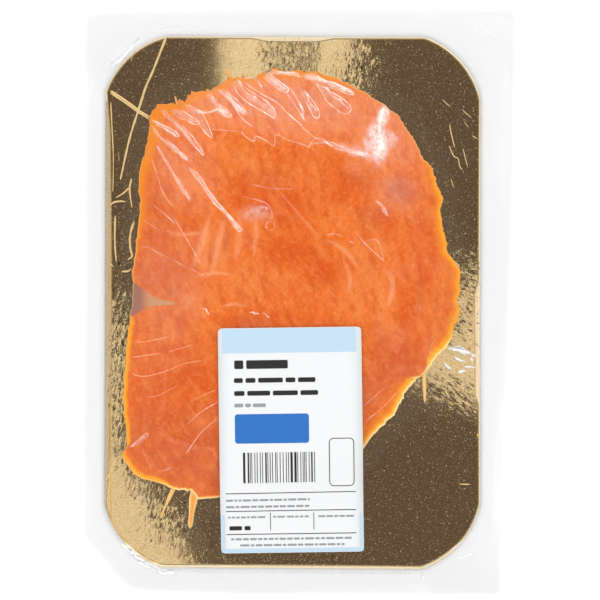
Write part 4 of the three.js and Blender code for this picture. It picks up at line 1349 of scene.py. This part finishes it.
# %% Crinkles
# half width in mm, strength of the painted highlight, then the path
CRINKLES = [
    (0.9, 1.0, [(-75.6, -101.4), (-73.4, -103.5), (-71, -105.6), (-68.6, -106.4)]),
    (0.7, 1.0, [(-74, -102.6), (-70.6, -103.6)]),
    (1.0, 1.0, [(-70.1, -106.6), (-67.2, -108.4), (-64.6, -109.2)]),
    (0.8, 1.0, [(-71.4, -104.4), (-69.4, -106), (-67, -106.8)]),
    (0.7, 1.0, [(-68.6, -109), (-65.4, -111), (-62, -112.4)]),
    (0.6, 0.9, [(-66, -109.6), (-61, -111), (-58, -113)]),
    (1.0, 1.0, [(-60.5, -113), (-57, -114.6), (-54.4, -113.8), (-51.8, -114.9)]),
    (0.3, 0.4, [(-57, -112.6), (-40, -113.8), (-10, -114), (20, -114.2), (47, -114.6)]),
    (0.6, 0.9, [(51.2, -113.6), (52, -116.2), (50.2, -114.4)]),
    (0.3, 0.5, [(52.6, -113.6), (60, -109), (68, -100.8)]),
    (0.6, 0.9, [(63, -107.1), (66.6, -108.2), (73.5, -105.4)]),
    (0.4, 0.8, [(-84.6, 98.4), (-79, 102), (-74.8, 105.4), (-67, 111.1)]),
    (0.25, 0.6, [(-67, 111.1), (-57.2, 114.9), (-42, 115.7)]),
    (0.8, 0.95, [(-80, 98.6), (-76, 101.4), (-73, 104.4), (-69.5, 108.4)]),
    (0.5, 0.8, [(-83, 96.4), (-80.4, 98)]),
    (0.35, 0.8, [(72.2, 116.1), (78.5, 113.6), (82.3, 109.8)]),
    (0.9, 0.95, [(66.4, -20.6), (68.4, -21.4), (70.4, -23)]),
    (0.8, 0.95, [(61.7, -19.1), (63.8, -20), (67.2, -20.4), (70.1, -21.2), (74.3, -23.3)]),
    (0.6, 0.9, [(63.4, -19.3), (66.8, -18.9), (69.7, -20)]),
    (0.6, 0.9, [(64.3, -22.9), (67.2, -24.6), (70.1, -25.4)]),
    (0.7, 0.95, [(60.1, -25.4), (62.2, -27.5), (63.8, -28.8)]),
    (1.0, 1.0, [(65.9, -30), (68, -29.4), (70.1, -28.8)]),
    (0.45, 0.8, [(68.5, -27.5), (71.4, -27.4), (74.3, -28.1)]),
    (0.55, 0.8, [(71.4, -23.3), (73.1, -25.4)]),
]
CRINKLE_HEIGHT = 0.15  # how far it stands off the web


def crinkle(half_width, strength, points):
    return ridge_places(points, half_width, CRINKLE_HEIGHT, web_at, strength)


crinkle_ridges = [crinkle(*line) for line in CRINKLES]
crinkles, painted_highlight = ridge_piece(
    "film_crinkles", crinkle_ridges, crinkle_film, "upper_film", casts=False
)
mark(crinkles, "painted_highlight", painted_highlight)

# %% [markdown]
# ## The label
# A die-cut paper label with rounded corners is stuck to the outside of the film, so it follows
# the pack: flat over the fish and bending down to the card past its edge. Every print on it is a
# thin patch cut from the same bent surface and lifted by a few hundredths of a millimetre. The
# print is plain: coloured fields, bars where words would be, and a bar code that says nothing.

# %% Paper and inks


def paper(name, colour):
    """Coated paper or ink on it: nearly even, with a faint fibre in its tone."""
    material, tree = new_material(name)
    place = node(tree, "ShaderNodeTexCoord").outputs["Object"]
    fibre = node(tree, "ShaderNodeTexNoise", {"Vector": place, "Scale": per_mm(0.8), "Detail": 3.0})
    shade = tuple(0.95 * part for part in linear(colour)[:3]) + (1,)
    sockets = {0: fibre.outputs["Fac"], 6: linear(colour), 7: shade}
    tone = node(tree, "ShaderNodeMix", sockets, data_type="RGBA").outputs[2]
    sockets = {"Base Color": tone, "Roughness": 0.5, "IOR": 1.45}
    surface = node(tree, "ShaderNodeBsdfPrincipled", sockets).outputs[0]
    node(tree, "ShaderNodeOutputMaterial", {"Surface": surface})
    return material


white_paper = paper("Coated white paper", "D6D7D8")
pale_ink = paper("Pale blue ink on paper", "ADC5D6")
blue_ink = paper("Mid blue ink on paper", "1263B0")
black_ink = paper("Black ink on paper", "1E1E1E")
grey_ink = paper("Grey ink on paper", "8A8C8E")
print("paper and four inks")

# %% The bent surface of the label
LABEL_CENTRE = Vector((-3.75, -58.15))
LABEL_TURN = math.radians(0.8)
LABEL_SIZE = (60, 94.6)
LABEL_FOLD = (Vector((-34, -85)), Vector((26, -69)))  # the line where it bends down most
LABEL_FALL = 26  # the width of the bend
BEND_CELLS = (6, 1.5)  # a patch is cut into cells this wide and high, so that it can bend


def label_height(x, y):
    """The label's upper face: high over the fish, low over the card."""
    start, end = LABEL_FOLD
    edge = (end - start).normalized()
    inside = edge.x * (y - start.y) - edge.y * (x - start.x)
    low = FISH_Z + 2 * GAP + WEB
    high = FISH_Z + UNDER_THICKNESS + TOP_THICKNESS + 3 * GAP + WEB + RELIEF
    return WEB + low + (high - low) * smooth(-LABEL_FALL * 0.55, LABEL_FALL * 0.45, inside)


def stick_on(bm, left, bottom, right, top, corner=0.0, lift=0.0, rim=0.0, ink=0):
    """Adds a rounded patch of the label's surface; a rim keeps only its border."""
    part = bmesh.new()
    bmesh.ops.create_grid(part, x_segments=1, y_segments=1, size=0.5)
    bmesh.ops.scale(part, vec=(right - left, top - bottom, 1), verts=part.verts)
    bmesh.ops.translate(part, vec=((left + right) / 2, (bottom + top) / 2, 0), verts=part.verts)
    if corner:
        bmesh.ops.bevel(
            part, geom=part.verts[:], offset=corner, segments=5, profile=0.5, affect="VERTICES",
            material=-1,
        )
    if rim:
        bmesh.ops.inset_region(part, faces=part.faces[:], thickness=rim, use_boundary=True)
        middle = max(part.faces, key=lambda face: face.calc_area())
        bmesh.ops.delete(part, geom=[middle], context="FACES")
    for axis, (low, high) in enumerate(((left, right), (bottom, top))):
        step = BEND_CELLS[axis]
        normal = [0, 0, 0]
        normal[axis] = 1
        for k in range(math.floor(low / step) + 1, math.ceil(high / step)):
            cut = [0, 0, 0]
            cut[axis] = k * step
            everything = part.verts[:] + part.edges[:] + part.faces[:]
            bmesh.ops.bisect_plane(part, geom=everything, plane_co=cut, plane_no=normal)
    cos, sin = math.cos(LABEL_TURN), math.sin(LABEL_TURN)
    for vert in part.verts:
        x = LABEL_CENTRE.x + vert.co.x * cos - vert.co.y * sin
        y = LABEL_CENTRE.y + vert.co.x * sin + vert.co.y * cos
        vert.co = Vector((x, y, float(label_height(x, y)) + lift)) * MM
    for face in part.faces:
        face.material_index = ink
    join(bm, part)


label_bm = bmesh.new()
half_width, half_height = LABEL_SIZE[0] / 2, LABEL_SIZE[1] / 2
stick_on(label_bm, -half_width, -half_height, half_width, half_height, corner=1.8)
finished("label", label_bm, [white_paper], ["label"], 0.2)

# %% The fields on the label
PALE, BLUE, BLACK, GREY = range(4)
INK_LIFT = 0.04  # how far the ink stands off the paper
# left, bottom, right and top from the label's middle, the corner's radius, a rim, and the ink
FIELDS = [
    (-28.4, 36.8, 27.9, 47.0, 0, 0, PALE),
    (-29.8, -47.1, 29.8, -45.4, 0.8, 0, PALE),
    (-29.8, -45.3, -28.4, -31.3, 0, 0, PALE),
    (28.4, -45.3, 29.8, -31.3, 0, 0, PALE),
    (-23.4, -1, 7.6, 11.3, 1.2, 0, BLUE),
    (15.8, -19.6, 26.4, 0.9, 2, 0.35, BLACK),
]
RULES_AT = (-22, -29.6, -39.4)
COLUMN_RULES_AT = (-9.1, 9.1)
HALF_RULE = 0.18
HALF_COLUMN_RULE = 0.15
print_bm = bmesh.new()
for *place, corner, rim, ink in FIELDS:
    stick_on(print_bm, *place, corner, INK_LIFT, rim, ink)
for level in RULES_AT:
    bottom, top = level - HALF_RULE, level + HALF_RULE
    stick_on(print_bm, -27.7, bottom, 26.9, top, 0, INK_LIFT, ink=BLACK)
for across in COLUMN_RULES_AT:
    left, right = across - HALF_COLUMN_RULE, across + HALF_COLUMN_RULE
    stick_on(print_bm, left, -37.8, right, -30.6, 0, INK_LIFT, ink=BLACK)


print("label fields and rules are", len(print_bm.faces), "faces")

# %% Bars for words, and the bar code
SHORTEST_WORD = 2.2  # in mm, for a row as high as ROW_HEIGHT
ROW_HEIGHT = 1.6
SPACE = 0.55  # a gap, as a share of the row's height
ROUNDING = 0.3  # and the radius of a bar's corners


def words(left, right, level, height, ink, longest=7.0):
    """A row of plain rounded bars with gaps, as long as words are."""
    start = left
    while start < right - height:
        end = min(right, start + rng.uniform(SHORTEST_WORD, longest) * height / ROW_HEIGHT)
        corner = height * ROUNDING
        stick_on(print_bm, start, level, end, level + height, corner, INK_LIFT, ink=ink)
        start = end + height * SPACE


for left, right in ((-23.3, -19.5), (-18.3, -0.9)):
    stick_on(print_bm, left, 30.2, right, 33.8, 0.6, INK_LIFT, ink=BLACK)
# left, right, level, height, ink, and the longest word where it isn't 7 mm
ROWS_OF_WORDS = [
    (-23.5, 11.6, 24.4, 2.0, BLACK, 9),
    (-23.5, 11.6, 19.0, 2.0, BLACK, 12),
    (-23.5, -10.2, 14.2, 1.5, GREY),
    (-27.6, 7.6, -25.4, 0.9, GREY),
    (-27.6, 7.6, -28.2, 0.9, GREY),
    (-27.0, -11, -32.6, 0.8, GREY),
    (-8.0, 7, -32.6, 0.8, GREY),
    (11.0, 26, -32.6, 0.8, GREY),
    (-26.4, -17.5, -37.7, 1.8, BLACK, 5),
    (-25.8, 24.9, -41.9, 0.9, GREY),
    (-22.0, 22.9, -44.5, 0.9, GREY),
]
for row in ROWS_OF_WORDS:
    words(*row)
MODULE = 0.32  # width of the thinnest bar
CODE_START, CODE_END = -20.2, 10.0
start = CODE_START
while start < CODE_END:
    bar = MODULE * rng.choice([1, 1, 2, 3], p=[0.4, 0.25, 0.2, 0.15])
    stick_on(print_bm, start, -17.6, start + bar, -4.8, 0, INK_LIFT, ink=BLACK)
    start += bar + MODULE * rng.choice([1, 2, 3])
inks = [pale_ink, blue_ink, black_ink, grey_ink]
finished("label_print", print_bm, inks, ["label"])

# %% [markdown]
# ## Table and light
# A white table, a camera straight above, and a room of even soft light, so that the pack looks
# well from every side. What shapes the look is what the foil mirrors: the ceiling right above the
# camera is dark, so most of the foil is dark brown, and white cards beside the camera light up
# the zones that turn bright gold. Two long low softboxes give the creases in the film their thin
# white highlights. An overhead fill lights what is matt, and nothing mirrors it.

# %% The table
TABLE_HALF = 3  # metres from its middle to its sides
table_bm = bmesh.new()
bmesh.ops.create_grid(table_bm, x_segments=8, y_segments=8, size=TABLE_HALF)
table_mesh = bpy.data.meshes.new("table")
table_bm.to_mesh(table_mesh)
table_bm.free()
table = bpy.data.objects.new("table", table_mesh)
COLLECTION.objects.link(table)
table_material, tree = new_material("Matt white table")
place = node(tree, "ShaderNodeTexCoord").outputs["Object"]
tone = node(tree, "ShaderNodeTexNoise", {"Vector": place, "Scale": per_mm(40)}).outputs["Fac"]
sockets = {0: tone, 6: linear("F6F6F6"), 7: linear("FAFAFA")}
white = node(tree, "ShaderNodeMix", sockets, data_type="RGBA").outputs[2]
surface = node(tree, "ShaderNodeBsdfPrincipled", {"Base Color": white, "Roughness": 0.8}).outputs[0]
node(tree, "ShaderNodeOutputMaterial", {"Surface": surface})
table_mesh.materials.append(table_material)
print("table of", [round(side, 1) for side in table.dimensions], "m")

# %% The camera
CAMERA_HEIGHT = 1.2
CAMERA_Y = 0.00063  # the pack lies this far below the middle of the view
FLANGE_LEVEL = 0.003  # the height at which the view is VIEW_WIDTH wide
VIEW_WIDTH = 0.252
SENSOR = 36
camera_data = bpy.data.cameras.new("camera")
camera_data.sensor_width = SENSOR
camera_data.lens = SENSOR * (CAMERA_HEIGHT - FLANGE_LEVEL) / VIEW_WIDTH
camera = bpy.data.objects.new("camera", camera_data)
camera.location = (0, CAMERA_Y, CAMERA_HEIGHT)
COLLECTION.objects.link(camera)
bpy.context.scene.camera = camera
bpy.context.scene.view_settings.view_transform = "Standard"
print("lens", round(camera_data.lens), "mm")

# %% The room
DARK_CEILING = (0.095, 0.115)  # its half sizes as tangents from straight up
CEILING_COLOUR = (0.142, 0.116, 0.12, 1)
OVERHEAD_DIM = {1: 0.6, 2: 0.85, 3: 1.0, 4: 0.45}  # towards straight up the light falls by half
CEILING_EDGE = {1: 0.97, 2: 1.03}  # the dark part ends softly
world = bpy.data.worlds.new("studio")
bpy.context.scene.world = world
world.use_nodes = True
tree = world.node_tree
tree.nodes.clear()
direction = node(tree, "ShaderNodeTexCoord").outputs["Generated"]
parts = node(tree, "ShaderNodeSeparateXYZ", {0: direction}).outputs
up = node(tree, "ShaderNodeMath", {0: parts[2], 1: 0.01}, operation="MAXIMUM").outputs[0]
share = 0.0
for part, half_size in zip(parts, DARK_CEILING):
    off = node(tree, "ShaderNodeMath", {0: part, 1: up}, operation="DIVIDE").outputs[0]
    off = node(tree, "ShaderNodeMath", {0: off}, operation="ABSOLUTE").outputs[0]
    off = node(tree, "ShaderNodeMath", {0: off, 1: half_size}, operation="DIVIDE").outputs[0]
    share = node(tree, "ShaderNodeMath", {0: share, 1: off}, operation="MAXIMUM").outputs[0]
walls = node(tree, "ShaderNodeMapRange", {0: parts[2], **OVERHEAD_DIM}).outputs[0]
lit = node(tree, "ShaderNodeMapRange", {0: share, **CEILING_EDGE}).outputs[0]
sockets = {0: lit, 6: CEILING_COLOUR, 7: (1, 1, 1, 1)}
colour = node(tree, "ShaderNodeMix", sockets, data_type="RGBA").outputs[2]
strength = node(tree, "ShaderNodeMapRange", {0: lit, 3: 1.0, 4: walls}).outputs[0]
background = node(tree, "ShaderNodeBackground", {"Color": colour, "Strength": strength})
node(tree, "ShaderNodeOutputWorld", {"Surface": background.outputs[0]})
print("dark ceiling over", [round(2 * size * CAMERA_HEIGHT, 2) for size in DARK_CEILING], "m")

# %% Lamps


def lamp(name, place, size, radiance, turn=0.0, aimed=False, mirrored=True):
    """A rectangular lamp in metres of that radiance; one that isn't mirrored lights matt surfaces."""
    data = bpy.data.lights.new(name, "AREA")
    data.shape = "RECTANGLE"
    data.size, data.size_y = size
    data.energy = radiance * math.pi * size[0] * size[1]
    made = bpy.data.objects.new(name, data)
    made.location = place
    made.rotation_euler = (0, 0, turn)
    if aimed:
        made.rotation_euler = Vector(place).to_track_quat("Z", "Y").to_euler()
    made.visible_camera = False
    made.visible_glossy = mirrored
    COLLECTION.objects.link(made)


def softbox(name, azimuth, tilt, distance, size, radiance):
    """A softbox off the vertical by tilt degrees, towards a compass azimuth from +X."""
    turn, lean = math.radians(azimuth), math.radians(tilt)
    low = distance * math.sin(lean)
    place = (low * math.cos(turn), low * math.sin(turn), distance * math.cos(lean))
    lamp(name, place, size, radiance, aimed=True)


def bounce_card(name, start, end, depth, radiance):
    """A white card that the level foil mirrors left of the line from start to end, in mm."""
    start, end = Vector(start), Vector(end)
    run = end - start
    middle = (start + end) / 2 + Vector((-run.y, run.x)).normalized() * depth / 2
    place = (*(2 * middle * MM), CAMERA_HEIGHT)
    size = 2 * run.length * MM, 2 * depth * MM
    lamp(name, place, size, radiance, turn=math.atan2(run.y, run.x))


# the line that a bounce card's light stops at on the foil, its depth in mm, and its radiance
BOUNCE_CARDS = {
    "left card": ((-75, -58), (-76, -5), 22, 0.85),
    "corner card": ((-35, -126), (-80.8, -56), 60, 0.8),
    "far card": ((-33, 80), (-13, 80), 50, 0.95),
    "far card, right": ((6.5, 80), (22, 80), 50, 0.95),
    "far strip": ((-8, 80), (-6, 80), 50, 0.9),
    "far strip, second": ((-1, 80), (0.5, 80), 50, 0.9),
    "right card": ((40, -29), (92, -50.6), 46, 0.8),
}
SOFTBOXES = {"right softbox": 50, "left softbox": 230}  # the azimuth of each
lamp("overhead fill", (0, 0, 1.6), (2.4, 2.4), radiance=1.2, mirrored=False)
for name, azimuth in SOFTBOXES.items():
    softbox(name, azimuth, tilt=54, distance=1.6, size=(1.3, 0.3), radiance=4)
for name, settings in BOUNCE_CARDS.items():
    bounce_card(name, *settings)
print(1 + len(SOFTBOXES) + len(BOUNCE_CARDS), "lamps")
